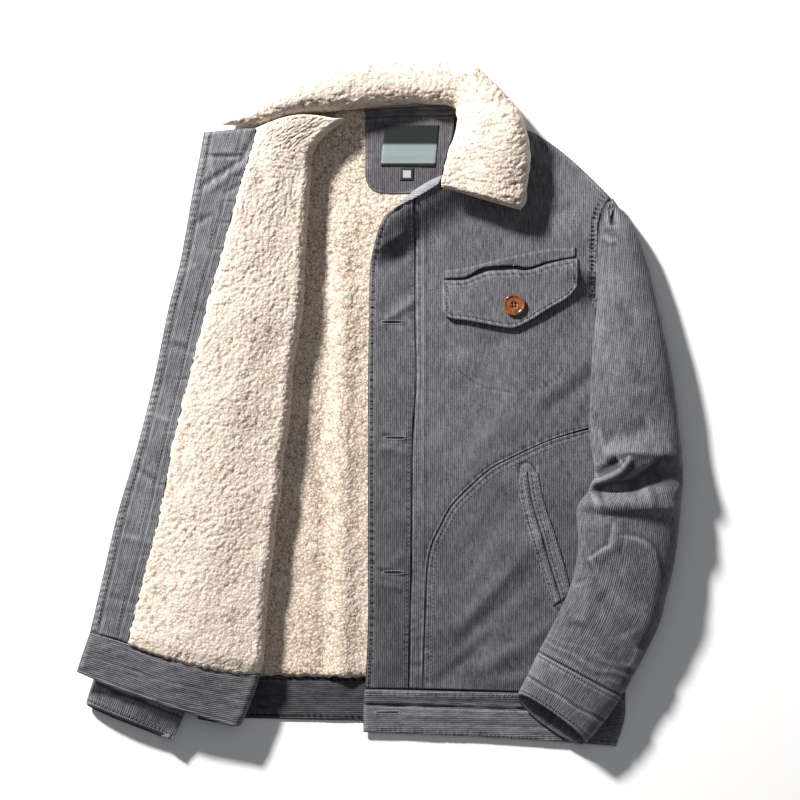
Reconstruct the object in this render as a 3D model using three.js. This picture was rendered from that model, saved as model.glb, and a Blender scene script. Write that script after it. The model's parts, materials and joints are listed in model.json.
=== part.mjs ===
// A sherpa lined corduroy jacket, laid flat on its back with its right front turned back.
// Millimetres, +Z up, +Y towards the collar. The floor is z = 0.

import * as THREE from 'three';

// Thicknesses and gaps of the cloth
const SEAM = 0.3;
const CLEAR = 0.6;
const SLEEVE_SEAM = 0.4;
const CLOTH = 1.6;
const DOUBLE = 3;
const PILE = 6;
const LINING_LOW = CLOTH + SEAM;
const LINING_TOP = LINING_LOW + PILE;
const THIN = 1;

// Where the closed front rests, and how it swells
const FRONT_REST = LINING_TOP + 0.6;
const FRONT_CROWN = 4;
const FRONT_LEFT = -13;
const SIDE_X = 262;
const ARMHOLE_X = 236;
const ARMHOLE_FOOT = 112;
const SIDE_ROLL = 26;
const ARMHOLE_ROLL = 60;
const ARMHOLE_RISE = 16;
const HEM_REST = DOUBLE + CLEAR;
const HEM_FALL_FROM = -313;
const HEM_FALL = 16;

// The turned front: the inside radius of its fold and the height of the layer below
const FOLD_RADIUS = 6;
const FOLD_REST = LINING_TOP + SEAM + PILE + SEAM + CLOTH;
// The share of the facing's width that its seam leaves open
const FACING_GAP = 0.008;

// The back's soft ridge beside the opening
const RIDGE_X = -40;
const RIDGE_WIDTH = 13;
const RIDGE_HEIGHT = 5;
const RIDGE_END = 220;

// Looks of the cloth in the source
const CORDUROY = { color: 0x5c5c61, roughness: 0.95, metalness: 0 };
const CORDUROY_EDGE = { color: 0x77777b, roughness: 0.95, metalness: 0 };
const SHERPA = { color: 0xeedec8, roughness: 1, metalness: 0 };
const BUTTON = { color: 0xa8541c, roughness: 0.25, metalness: 0 };
const LABEL = { color: 0x2e3331, roughness: 0.8, metalness: 0 };
const TAB = { color: 0xd8dad6, roughness: 0.8, metalness: 0 };

// The shoulder line, from the neck to the top of the armhole
const SHOULDER = [
  { x: 60, y: 318 },
  { x: 110, y: 314 },
  { x: 155, y: 301 },
  { x: 189, y: 275 },
  { x: 213, y: 254 },
  { x: 251, y: 222 },
  { x: 290, y: 190 },
];

// Each body row runs from its left edge (lx, ly) to its right edge (rx, ry), and bows up by bow
const BACK_ROWS = [
  { lx: -40, ly: 316, rx: 98, ry: 314, bow: 0 },
  { lx: -91, ly: 298, rx: 152, ry: 298, bow: 6 },
  { lx: -150, ly: 257, rx: 212, ry: 252, bow: 0 },
  { lx: -187, ly: 220, rx: 249.5, ry: 221, bow: 0 },
  { lx: -178, ly: 190, rx: 240, ry: 190, bow: 0 },
  { lx: -173, ly: 140, rx: 235.5, ry: 140, bow: 0 },
  { lx: -180, ly: 108, rx: 240, ry: 104, bow: 0 },
  { lx: -197, ly: 86, rx: 259, ry: 82, bow: 0 },
  { lx: -200, ly: 0, rx: 262, ry: 0, bow: 0 },
  { lx: -202, ly: -150, rx: 264, ry: -150, bow: 0 },
  { lx: -203, ly: -294, rx: 266, ry: -300, bow: 0 },
];
const BACK_LINING_ROWS = [
  { lx: -52, ly: 314, rx: 74, ry: 314, bow: 1 },
  { lx: -120, ly: 262, rx: 82, ry: 266, bow: 0 },
  { lx: -168, ly: 215, rx: 150, ry: 238, bow: 0 },
  { lx: -168, ly: 165, rx: 205, ry: 170, bow: 0 },
  { lx: -176, ly: 100, rx: 204, ry: 100, bow: 0 },
  { lx: -193, ly: 40, rx: 218, ry: 40, bow: 0 },
  { lx: -197, ly: -150, rx: 221, ry: -150, bow: 0 },
  { lx: -198, ly: -293.4, rx: 221, ry: -299, bow: 0 },
];
const BACK_BAND_ROWS = [
  { lx: -203, ly: -294.3, rx: 266, ry: -300.3, bow: 0 },
  { lx: -200, ly: -318, rx: 265, ry: -324, bow: 0 },
  { lx: -197, ly: -341, rx: 261, ry: -353, bow: 1 },
];
const FRONT_ROWS = [
  { lx: 88, ly: 312, rx: 250, ry: 223, bow: 24 },
  { lx: 82, ly: 286, rx: 243, ry: 214, bow: 14 },
  { lx: 72, ly: 256, rx: 237, ry: 198, bow: 8 },
  { lx: 62, ly: 236, rx: 235.5, ry: 175, bow: 3 },
  { lx: 41, ly: 222, rx: 235.5, ry: 150, bow: 0 },
  { lx: 38.3, ly: 172, rx: 235.3, ry: 120, bow: 0 },
  { lx: 38.3, ly: 120, rx: 245, ry: 95, bow: 0 },
  { lx: 38.8, ly: 65, rx: 261, ry: 55, bow: 0 },
  { lx: 39.3, ly: 25, rx: 262, ry: -16, bow: 0 },
  { lx: 37.8, ly: -8, rx: 227, ry: -26.7, bow: 0 },
  { lx: 36.5, ly: -30, rx: 185, ry: -39.7, bow: 0 },
  { lx: 35.3, ly: -52, rx: 143, ry: -58.7, bow: 0 },
  { lx: 35, ly: -70, rx: 119, ry: -71.7, bow: 0 },
  { lx: 34.9, ly: -88, rx: 96, ry: -91.7, bow: 0 },
  { lx: 34.8, ly: -107, rx: 77, ry: -111.8, bow: 0 },
  { lx: 34.6, ly: -129, rx: 65, ry: -133.9, bow: 0 },
  { lx: 34.4, ly: -151, rx: 56, ry: -154, bow: 0 },
  { lx: 34, ly: -180, rx: 51, ry: -180, bow: 0 },
  { lx: 33, ly: -228, rx: 49, ry: -227, bow: 0 },
  { lx: 31.5, ly: -309.7, rx: 46, ry: -309.7, bow: 0 },
];
const POCKET_PANEL_ROWS = [
  { lx: 227, ly: -28.6, rx: 262, ry: -26, bow: 0 },
  { lx: 185, ly: -40.5, rx: 262, ry: -36, bow: 0 },
  { lx: 143, ly: -59.6, rx: 262.5, ry: -50, bow: 0 },
  { lx: 119, ly: -72.6, rx: 263, ry: -68, bow: 0 },
  { lx: 96.3, ly: -92.5, rx: 263, ry: -88, bow: 0 },
  { lx: 77.5, ly: -112.4, rx: 263, ry: -108, bow: 0 },
  { lx: 65.5, ly: -134.4, rx: 263.5, ry: -130, bow: 0 },
  { lx: 56.5, ly: -154.4, rx: 264, ry: -152, bow: 0 },
  { lx: 51.5, ly: -180.3, rx: 264, ry: -180, bow: 0 },
  { lx: 49.5, ly: -227.3, rx: 265, ry: -232, bow: 0 },
  { lx: 46.5, ly: -309.7, rx: 266, ry: -316.7, bow: 0 },
];
const PLACKET_ROWS = [
  { lx: 20, ly: 213, rx: 36.5, ry: 222, bow: 0 },
  { lx: 4, ly: 200, rx: 37, ry: 196, bow: 0 },
  { lx: -6, ly: 172, rx: 37.6, ry: 168, bow: 0 },
  { lx: -11, ly: 142, rx: 38, ry: 140, bow: 0 },
  { lx: -12, ly: 90, rx: 38, ry: 90, bow: 0 },
  { lx: -13, ly: 25, rx: 39, ry: 25, bow: 0 },
  { lx: -13, ly: -40, rx: 35, ry: -40, bow: 0 },
  { lx: -13, ly: -157, rx: 34, ry: -157, bow: 0 },
  { lx: -13, ly: -234, rx: 32.5, ry: -234, bow: 0 },
  { lx: -16, ly: -309.7, rx: 31, ry: -309.7, bow: 0 },
];
const FRONT_BAND_ROWS = [
  { lx: -17, ly: -310, rx: 266, ry: -317, bow: 0 },
  { lx: -18, ly: -333, rx: 265, ry: -342, bow: 0 },
  { lx: -18, ly: -357, rx: 256, ry: -372, bow: 2 },
];
const NECK_EDGE_ROWS = [
  { lx: 14, ly: 208.5, rx: 68, ry: 246, bow: 5 },
  { lx: 20, ly: 214, rx: 62, ry: 237, bow: 3 },
];

// The chest pocket's flap and welt run across, a section for each corner of their edges
const FLAP_SECTIONS = [
  { x: 67, top: 133.5, bottom: 98 },
  { x: 74, top: 134, bottom: 92 },
  { x: 93, top: 135.5, bottom: 89 },
  { x: 110, top: 144.5, bottom: 86 },
  { x: 128, top: 147, bottom: 82.5 },
  { x: 145, top: 147.5, bottom: 81 },
  { x: 161, top: 145.5, bottom: 88 },
  { x: 182, top: 151.5, bottom: 101 },
  { x: 205, top: 156.5, bottom: 115 },
  { x: 215, top: 156.5, bottom: 128 },
];
const WELT_SECTIONS = [
  { x: 69, top: 143.5, bottom: 134.3 },
  { x: 94, top: 147, bottom: 136.3 },
  { x: 110, top: 151, bottom: 145.3 },
  { x: 128, top: 156, bottom: 147.8 },
  { x: 147, top: 160, bottom: 148.3 },
  { x: 161, top: 163, bottom: 146.3 },
  { x: 182, top: 167, bottom: 152.5 },
  { x: 212, top: 168, bottom: 158 },
];
const FLAP_LIFT = 4;

// The slanted hand pocket's two welts
const HAND_LEFT_ROWS = [
  { lx: 150, ly: -77, rx: 159, ry: -74, bow: 0 },
  { lx: 152, ly: -109, rx: 164, ry: -107, bow: 0 },
  { lx: 162, ly: -145, rx: 174.5, ry: -142, bow: 0 },
  { lx: 171, ly: -172, rx: 184, ry: -176, bow: 0 },
  { lx: 187, ly: -220, rx: 196, ry: -214, bow: 0 },
];
const HAND_RIGHT_ROWS = [
  { lx: 160, ly: -74, rx: 171, ry: -75, bow: 0 },
  { lx: 165, ly: -107, rx: 177.5, ry: -106, bow: 0 },
  { lx: 175.5, ly: -142, rx: 189, ry: -140, bow: 0 },
  { lx: 185, ly: -176, rx: 199, ry: -172, bow: 0 },
  { lx: 197, ly: -214, rx: 207, ry: -206, bow: 0 },
];

// Sleeve rings run from their left side (lx, ly) to their right side (rx, ry); top is the ring's crown
const LEFT_SLEEVE_ROWS = [
  { lx: 237, ly: 114.5, rx: 251.8, ry: 222.5, top: 26, bow: 7.4 },
  { lx: 232.5, ly: 88.6, rx: 280.8, ry: 175, top: 36, bow: 4 },
  { lx: 229, ly: 54, rx: 301.3, ry: 100.4, top: 43, bow: 1 },
  { lx: 226.8, ly: 6.5, rx: 315.4, ry: 33.5, top: 47, bow: 0 },
  { lx: 225.7, ly: -29.2, rx: 325, ry: -40, top: 49, bow: 0 },
  { lx: 231, ly: -81, rx: 327.2, ry: -81, top: 50, bow: 0 },
  { lx: 214, ly: -110.2, rx: 325, ry: -110.2, top: 50, bow: 0 },
  { lx: 212.8, ly: -128.5, rx: 324, ry: -126, top: 50, bow: 0 },
  { lx: 213.8, ly: -158.8, rx: 318.6, ry: -170.6, top: 48, bow: 0 },
  { lx: 205.2, ly: -198.7, rx: 310, ry: -207, top: 46, bow: 0 },
  { lx: 190.1, ly: -232.2, rx: 299.2, ry: -246.2, top: 43, bow: 0 },
  { lx: 171.6, ly: -268, rx: 262, ry: -317, top: 40, bow: 0 },
];
const LEFT_CUFF_ROWS = [
  { lx: 171.2, ly: -268.5, rx: 261.6, ry: -317.5, top: 42, back: 0, out: 0 },
  { lx: 160, ly: -292, rx: 243, ry: -344, top: 41, back: 0, out: 0 },
  { lx: 148.5, ly: -315.4, rx: 222.5, ry: -368.5, top: 37, back: 7, out: 10 },
];
const RIGHT_SLEEVE_ROWS = [
  { lx: -192, ly: 214, rx: -177, ry: 122, top: 30 },
  { lx: -207, ly: 165, rx: -150, ry: 92, top: 34 },
  { lx: -222, ly: 100, rx: -135, ry: 55, top: 36 },
  { lx: -240, ly: 10, rx: -137, ry: -20, top: 36 },
  { lx: -257, ly: -80, rx: -153, ry: -108, top: 36 },
  { lx: -282, ly: -175, rx: -180, ry: -210, top: 35 },
  { lx: -304, ly: -278, rx: -205, ry: -318, top: 33 },
];
const RIGHT_CUFF_ROWS = [
  { lx: -304.2, ly: -278.5, rx: -205.2, ry: -318.5, top: 33, back: 0, out: 0 },
  { lx: -311, ly: -301, rx: -213, ry: -341, top: 27, back: 0, out: 0 },
  { lx: -319, ly: -326, rx: -224, ry: -363, top: 18, back: 0, out: 4 },
];

// The elbow's main folds: where along the sleeve, how far they lean, how wide and how high
const ELBOW_FOLDS = [
  { at: 0.34, lean: -0.02, width: 0.03, height: -3 },
  { at: 0.41, lean: -0.02, width: 0.03, height: 4 },
  { at: 0.475, lean: -0.03, width: 0.03, height: -9 },
  { at: 0.54, lean: 0.02, width: 0.03, height: 4 },
  { at: 0.63, lean: 0.05, width: 0.035, height: -4 },
  { at: 0.82, lean: 0.06, width: 0.04, height: -3 },
];
const NO_FOLDS = [];

// The turned front: h is its hidden side, f the fold, s the facing's seam, e the opening edge
const TURNED_ROWS = [
  {
    hx: -97, hy: 296, fx: -54, fy: 308, sx: -131, sy: 297,
    ex: -190, ey: 292, zm: 34, zs: 36, ze: 26, bow: 7,
  },
  {
    hx: -125, hy: 272, fx: -70, fy: 277, sx: -139, sy: 265,
    ex: -195, ey: 262, zm: 36, zs: 39, ze: 31, bow: 3,
  },
  {
    hx: -160, hy: 243, fx: -73, fy: 241, sx: -150, sy: 230,
    ex: -201, ey: 231, zm: 37, zs: 42, ze: 35, bow: 1,
  },
  {
    hx: -171, hy: 160, fx: -79, fy: 165, sx: -170, sy: 155,
    ex: -214, ey: 157, zm: 39, zs: 44, ze: 37, bow: 0,
  },
  {
    hx: -179, hy: 102, fx: -83, fy: 101, sx: -185, sy: 101,
    ex: -228, ey: 100, zm: 40, zs: 44, ze: 37, bow: 0,
  },
  {
    hx: -198, hy: 20, fx: -94, fy: 20, sx: -205, sy: 22,
    ex: -244, ey: 22, zm: 41, zs: 44, ze: 37, bow: 0,
  },
  {
    hx: -199, hy: -45, fx: -101, fy: -45, sx: -221, sy: -45,
    ex: -261, ey: -46, zm: 41, zs: 44, ze: 37, bow: 0,
  },
  {
    hx: -200, hy: -117, fx: -108, fy: -117, sx: -235, sy: -120,
    ex: -283, ey: -121, zm: 41, zs: 43, ze: 36, bow: 0,
  },
  {
    hx: -201, hy: -185, fx: -116, fy: -185, sx: -252, sy: -187,
    ex: -299, ey: -190, zm: 41, zs: 42, ze: 36, bow: 0,
  },
  {
    hx: -202, hy: -289, fx: -128, fy: -292, sx: -270, sy: -258,
    ex: -312, ey: -246, zm: 40, zs: 40, ze: 36, bow: -5,
  },
];
const TURNED_BAND_ROWS = [
  {
    hx: -202, hy: -294, fx: -130, fy: -293.4, sx: -270.2, sy: -258.8,
    ex: -312.3, ey: -246.8, zm: 40, zs: 40, ze: 36, bow: -5,
  },
  {
    hx: -200, hy: -318, fx: -140, fy: -322, sx: -278, sy: -284,
    ex: -320, ey: -269, zm: 37, zs: 37, ze: 34, bow: -3,
  },
  {
    hx: -197, hy: -342, fx: -151, fy: -349, sx: -285, sy: -308,
    ex: -327, ey: -290, zm: 33, zs: 33, ze: 30, bow: -1,
  },
];

// The collar's roll from its left tail round the back of the neck to the tip of its right wing
const COLLAR_ROWS = [
  { ix: -140, iy: 300.5, ox: -172, oy: 300, top: 43 },
  { ix: -128, iy: 302.5, ox: -152, oy: 311, top: 47 },
  { ix: -92, iy: 316.5, ox: -108, oy: 331, top: 48 },
  { ix: -51, iy: 319, ox: -68, oy: 352, top: 45 },
  { ix: -15, iy: 323.5, ox: -25, oy: 368, top: 40 },
  { ix: 16, iy: 326, ox: 17, oy: 371.5, top: 37 },
  { ix: 50, iy: 326, ox: 62, oy: 371.5, top: 37 },
  { ix: 78, iy: 322.5, ox: 97, oy: 368, top: 38 },
  { ix: 86, iy: 312, ox: 124, oy: 347, top: 43 },
  { ix: 86, iy: 298, ox: 149, oy: 317, top: 46 },
  { ix: 81, iy: 284, ox: 160, oy: 287, top: 47 },
  { ix: 75, iy: 268, ox: 162, oy: 262, top: 46 },
  { ix: 70, iy: 252, ox: 160, oy: 240, top: 45 },
  { ix: 65, iy: 238, ox: 157, oy: 217, top: 43 },
  { ix: 66, iy: 233, ox: 152, oy: 208, top: 40 },
];
const COLLAR_STEP = 16;

// The neck line of the closed front, which the collar's stand holds up
const NECK_LINE = [
  { x: 0, y: 196 },
  { x: 20, y: 214 },
  { x: 62, y: 238 },
  { x: 70, y: 256 },
];
const NECK_LIFT = 15;
const NECK_REACH = 52;

// Neck tape, hanger patch, label and size tab, on the back lining
const TAPE_ROWS = [
  { lx: -46, ly: 317, rx: 80, ry: 319, bow: 4 },
  { lx: -46, ly: 309, rx: 82, ry: 311.6, bow: 1 },
];
const PATCH_ROWS = [
  { lx: -16, ly: 308.6, rx: 81, ry: 310.6, bow: 0 },
  { lx: -16, ly: 290, rx: 79, ry: 290, bow: 0 },
  { lx: -16, ly: 262, rx: 71, ry: 262, bow: 0 },
  { lx: -15.5, ly: 243, rx: 66.5, ry: 244, bow: 0 },
  { lx: -9, ly: 231, rx: 62, ry: 236, bow: -3 },
  { lx: 2, ly: 227.5, rx: 58, ry: 230, bow: -2 },
];
const LABEL_ROWS = [
  { lx: 5, ly: 301, rx: 64, ry: 301, bow: 0 },
  { lx: 1, ly: 256.5, rx: 60, ry: 255.5, bow: 0 },
];
const SIZE_TAB_ROWS = [
  { lx: 23, ly: 254.8, rx: 37, ry: 254.8, bow: 0 },
  { lx: 21.5, ly: 241, rx: 36, ry: 241, bow: 0 },
];

// The button on the flap
const BUTTON_X = 145;
const BUTTON_Y = 106;
const BUTTON_RADIUS = 10.3;
const BUTTON_ROUND = 1.2;
const BUTTON_BODY = 2.2;
const HOLE_RADIUS = 1.2;
const HOLE_REACH = 2.6;

// The front buttons face down under the turned front: how far down it, and how far from seam to edge
const FRONT_BUTTONS = [
  { rows: 'front', v: 0.1, across: 3.5 },
  { rows: 'front', v: 0.37, across: 3.5 },
  { rows: 'front', v: 0.57, across: 3.5 },
  { rows: 'front', v: 0.79, across: 3.5 },
  { rows: 'band', v: 0.5, across: 3.5 },
];

const lerp = (a, b, t) => a + (b - a) * t;
const clamp = (t) => Math.min(1, Math.max(0, t));
const ease = (t) => clamp(t) ** 2 * (3 - 2 * clamp(t));
const power = (value, exponent) => Math.sign(value) * Math.abs(value) ** exponent;

// The value at t of a smooth curve through knots, a list of { t, value }
function through(knots, t) {
  let i = 0;
  while (i < knots.length - 2 && t > knots[i + 1].t) i += 1;
  const slope = (a, b) => (knots[b].value - knots[a].value) / (knots[b].t - knots[a].t);
  const last = knots.length - 1;
  const start = i === 0 ? slope(0, 1) : slope(i - 1, i + 1);
  const end = i + 1 === last ? slope(last - 1, last) : slope(i, i + 2);
  const span = knots[i + 1].t - knots[i].t;
  const s = (t - knots[i].t) / span;
  const a = knots[i].value;
  const b = knots[i + 1].value;
  return (2 * s ** 3 - 3 * s ** 2 + 1) * a + (s ** 3 - 2 * s ** 2 + s) * span * start
    + (3 * s ** 2 - 2 * s ** 3) * b + (s ** 3 - s ** 2) * span * end;
}

// A row of a table at v from 0 to 1, each column smooth from row to row
function rowAt(rows, v) {
  const at = clamp(v) * (rows.length - 1);
  const row = {};
  for (const name of Object.keys(rows[0])) {
    row[name] = through(rows.map((r, i) => ({ t: i, value: r[name] })), at);
  }
  return row;
}

// A column of a table whose first column is x, at that x
function columnAt(rows, name, x) {
  return through(rows.map((r) => ({ t: r.x, value: r[name] })), x);
}

function ridge(x, y) {
  return RIDGE_HEIGHT * Math.exp(-(((x - RIDGE_X) / RIDGE_WIDTH) ** 2)) * ease((RIDGE_END - y) / 120);
}
const sideEdge = (y) => ARMHOLE_X + (SIDE_X - ARMHOLE_X) * ease((ARMHOLE_FOOT - y) / 50);

// How far the collar's stand props the closed front up along its neck line
function neckLift(x, y) {
  let near = Infinity;
  for (let i = 0; i + 1 < NECK_LINE.length; i += 1) {
    const [a, b] = [NECK_LINE[i], NECK_LINE[i + 1]];
    const [dx, dy] = [b.x - a.x, b.y - a.y];
    const along = clamp(((x - a.x) * dx + (y - a.y) * dy) / (dx * dx + dy * dy));
    near = Math.min(near, Math.hypot(x - a.x - along * dx, y - a.y - along * dy));
  }
  return NECK_LIFT * ease(1 - near / NECK_REACH);
}

// The underside of the closed front
function frontLow(x, y) {
  const across = clamp((x - FRONT_LEFT) / (SIDE_X - FRONT_LEFT));
  const swell = FRONT_CROWN * Math.sin(Math.PI * across) * ease((y + 320) / 80);
  const armhole = ease((y - ARMHOLE_FOOT) / 34);
  const edge = lerp(LINING_LOW, HEM_REST, ease((-268 - y) / 28)) + ARMHOLE_RISE * armhole;
  const rolled = ease((sideEdge(y) - x) / lerp(SIDE_ROLL, ARMHOLE_ROLL, armhole));
  const level = lerp(edge, FRONT_REST + swell, rolled);
  const hemmed = lerp(level, HEM_REST, ease((HEM_FALL_FROM - y) / HEM_FALL));
  const shoulder = columnAt(SHOULDER, 'y', x) - y;
  return lerp(LINING_LOW, hemmed + neckLift(x, y), ease(shoulder / 32));
}
const frontTop = (x, y) => frontLow(x, y) + CLOTH;
const placketTop = (x, y) => frontLow(x, y) + DOUBLE;

// What the left sleeve lies on: the front's side, then the floor beyond it
function underLeftSleeve(x, y) {
  const level = Math.min(y, ARMHOLE_FOOT);
  const edge = sideEdge(level);
  const body = placketTop(Math.min(x, edge), level) + 2 * CLEAR;
  return lerp(body, SEAM, ease((x - edge - 4) / 16));
}

// What the right sleeve lies on: the floor, then the turned front's lower layer
function underRightSleeve(x, y) {
  const edge = lerp(-172, -201, ease((112 - y) / 30));
  return lerp(SEAM, FOLD_REST + CLEAR, ease((x - edge + 50) / 26));
}

// What the collar lies on: the floor, then the closed front
function underCollar(x, y) {
  const inside = columnAt(SHOULDER, 'y', Math.min(x, 250)) + COLLAR_STEP - y;
  return lerp(0, frontTop(x, y) + 2 * CLEAR, ease(inside / COLLAR_STEP) * ease((x - 42) / 12));
}

// A closed mesh from points and triangles, with its faces turned outwards
function body(points, triangles) {
  let volume = 0;
  for (const [a, b, c] of triangles) {
    const [p, q, r] = [points[a], points[b], points[c]];
    volume += p[0] * (q[1] * r[2] - q[2] * r[1]) - p[1] * (q[0] * r[2] - q[2] * r[0])
      + p[2] * (q[0] * r[1] - q[1] * r[0]);
  }
  const faces = volume < 0 ? triangles.map(([a, b, c]) => [a, c, b]) : triangles;
  const geometry = new THREE.BufferGeometry();
  geometry.setAttribute('position', new THREE.Float32BufferAttribute(points.flat(), 3));
  geometry.setIndex(faces.flat());
  geometry.computeVertexNormals();
  return geometry;
}

const quad = (a, b, c, d) => [[a, b, d], [b, c, d]];

// A wall of cloth between two surfaces, each a function of u across and v along
function wall(across, along, under, over) {
  const points = [];
  for (const surface of [over, under]) {
    for (let j = 0; j <= along; j += 1) {
      for (let i = 0; i <= across; i += 1) points.push(surface(i / across, j / along));
    }
  }
  const layer = (across + 1) * (along + 1);
  const at = (i, j) => j * (across + 1) + i;
  const triangles = [];
  for (let j = 0; j < along; j += 1) {
    for (let i = 0; i < across; i += 1) {
      const [a, b, c, d] = [at(i, j), at(i, j + 1), at(i + 1, j + 1), at(i + 1, j)];
      triangles.push(...quad(a, b, c, d), ...quad(d + layer, c + layer, b + layer, a + layer));
    }
  }
  for (let i = 0; i < across; i += 1) {
    triangles.push(...quad(at(i, 0), at(i + 1, 0), at(i + 1, 0) + layer, at(i, 0) + layer));
    triangles.push(...quad(at(i + 1, along), at(i, along), at(i, along) + layer, at(i + 1, along) + layer));
  }
  for (let j = 0; j < along; j += 1) {
    triangles.push(...quad(at(0, j + 1), at(0, j), at(0, j) + layer, at(0, j + 1) + layer));
    const [near, far] = [at(across, j), at(across, j + 1)];
    triangles.push(...quad(near, far, far + layer, near + layer));
  }
  return body(points, triangles);
}

// A loop of rings, open at both ends: ring(angle, v, inward) gives a point
function tube(around, along, ring) {
  const points = [];
  for (const inward of [0, 1]) {
    for (let j = 0; j <= along; j += 1) {
      for (let k = 0; k < around; k += 1) points.push(ring((2 * Math.PI * k) / around, j / along, inward));
    }
  }
  const layer = around * (along + 1);
  const at = (k, j) => j * around + (k % around);
  const triangles = [];
  for (let k = 0; k < around; k += 1) {
    for (let j = 0; j < along; j += 1) {
      const [a, b, c, d] = [at(k, j), at(k + 1, j), at(k + 1, j + 1), at(k, j + 1)];
      triangles.push(...quad(a, b, c, d), ...quad(d + layer, c + layer, b + layer, a + layer));
    }
    triangles.push(...quad(at(k + 1, 0), at(k, 0), at(k, 0) + layer, at(k + 1, 0) + layer));
    triangles.push(...quad(at(k, along), at(k + 1, along), at(k + 1, along) + layer, at(k, along) + layer));
  }
  return body(points, triangles);
}

// A filled loft of rings, closed at both ends
function roll(around, along, ring) {
  const points = [];
  for (let j = 0; j <= along; j += 1) {
    for (let k = 0; k < around; k += 1) points.push(ring((2 * Math.PI * k) / around, j / along));
  }
  const at = (k, j) => j * around + (k % around);
  const triangles = [];
  for (let k = 0; k < around; k += 1) {
    for (let j = 0; j < along; j += 1) {
      triangles.push(...quad(at(k, j), at(k + 1, j), at(k + 1, j + 1), at(k, j + 1)));
    }
  }
  for (const j of [0, along]) {
    const ringPoints = points.slice(at(0, j), at(0, j) + around);
    const middle = [0, 1, 2].map((axis) => ringPoints.reduce((sum, p) => sum + p[axis], 0) / around);
    points.push(middle);
    for (let k = 0; k < around; k += 1) {
      const [a, b] = j === 0 ? [at(k + 1, j), at(k, j)] : [at(k, j), at(k + 1, j)];
      triangles.push([a, b, points.length - 1]);
    }
  }
  return body(points, triangles);
}

// A point of a panel whose rows run from a left edge to a right edge
function panelPoint(rows, u, v) {
  const row = rowAt(rows, v);
  const y = lerp(row.ly, row.ry, u) + row.bow * Math.sin(Math.PI * u);
  return [lerp(row.lx, row.rx, u), y];
}

// A panel of an even thickness whose underside follows low(x, y)
function panel(rows, across, along, low, thickness, raise = () => 0) {
  const surface = (lift) => (u, v) => {
    const [x, y] = panelPoint(rows, u, v);
    return [x, y, low(x, y) + lift + (lift > 0 ? raise(x, y) : 0)];
  };
  return wall(across, along, surface(0), surface(thickness));
}

// A strip that runs across, with its top and bottom edges given by sections
function strip(sections, across, along, low, thickness, lift) {
  const first = sections[0].x;
  const last = sections[sections.length - 1].x;
  const surface = (rise) => (u, v) => {
    const x = lerp(first, last, u);
    const y = lerp(columnAt(sections, 'top', x), columnAt(sections, 'bottom', x), v);
    return [x, y, low(x, y) + rise + lift * v * v];
  };
  return wall(across, along, surface(0), surface(thickness));
}

// A point of a flattened tube that rests on low(x, y); angle is 0 to PI over its upper side
function sleevePoint(rows, folds, low, thickness, angle, v, inward) {
  const row = rowAt(rows, v);
  const inset = inward * thickness;
  const [middleX, middleY] = [(row.lx + row.rx) / 2, (row.ly + row.ry) / 2];
  const [halfX, halfY] = [(row.rx - row.lx) / 2, (row.ry - row.ly) / 2];
  const half = Math.hypot(halfX, halfY);
  const side = power(Math.cos(angle), 0.85) * (1 - inset / half);
  const height = Math.sin(angle);
  let [x, y] = [middleX + halfX * side, middleY + halfY * side];
  const floor = low(x, y);
  const widest = lerp(floor, row.top, 0.42);
  let crown = row.top;
  for (const fold of folds) {
    crown += fold.height * Math.exp(-(((v - fold.at - fold.lean * side) / fold.width) ** 2));
  }
  const z = height > 0
    ? widest + (crown - inset - widest) * height ** 0.8
    : widest - (widest - floor - inset) * Math.abs(height) ** 0.5;
  const lip = (height > 0 ? -(row.back ?? 0) : (row.out ?? 0)) * Math.abs(height);
  const slide = lip - (row.bow ?? 0) * (1 - side * side);
  x += (slide * halfY) / half;
  y -= (slide * halfX) / half;
  return [x, y, z];
}

// A cuff, all round the wrist
function sleeve(rows, folds, around, along, low, thickness) {
  return tube(around, along, (angle, v, inward) => sleevePoint(rows, folds, low, thickness, angle, v, inward));
}

// The upper or under half of a sleeve, between its two long seams
function sleeveHalf(rows, folds, around, along, low, thickness, from, raise) {
  const surface = (inward) => (u, v) => {
    const [x, y, z] = sleevePoint(rows, folds, low, thickness, from + Math.PI * u, v, inward);
    return [x, y, z + raise];
  };
  return wall(around, along, surface(1), surface(0));
}

// A layer of the turned front: u runs 0 to 1 on the hidden layer, to 2 round the fold,
// to 3 at the facing's seam and to 4 at the opening edge; away is its distance out of the fold
function turnedPoint(rows, u, v, away, outside) {
  const row = rowAt(rows, v);
  const turnX = row.fx - outside - FOLD_RADIUS;
  const upper = FOLD_REST + 2 * FOLD_RADIUS;
  if (u <= 1) {
    return [lerp(row.hx, turnX, u), lerp(row.hy, row.fy, u), FOLD_REST - away];
  }
  if (u <= 2) {
    const angle = (u - 1.5) * Math.PI;
    const reach = FOLD_RADIUS + away;
    return [turnX + reach * Math.cos(angle), row.fy, FOLD_REST + FOLD_RADIUS + reach * Math.sin(angle)];
  }
  const knots = [
    { t: 1.8, value: upper },
    { t: 2, value: upper },
    { t: 2.5, value: row.zm },
    { t: 3, value: row.zs },
    { t: 4, value: row.ze },
  ];
  const z = through(knots, u) + away;
  if (u <= 3) {
    const y = lerp(row.fy, row.sy, u - 2) + row.bow * Math.sin(Math.PI * (u - 2));
    return [lerp(turnX, row.sx, u - 2), y, z];
  }
  return [lerp(row.sx, row.ex, u - 3), lerp(row.sy, row.ey, u - 3), z];
}

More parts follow.
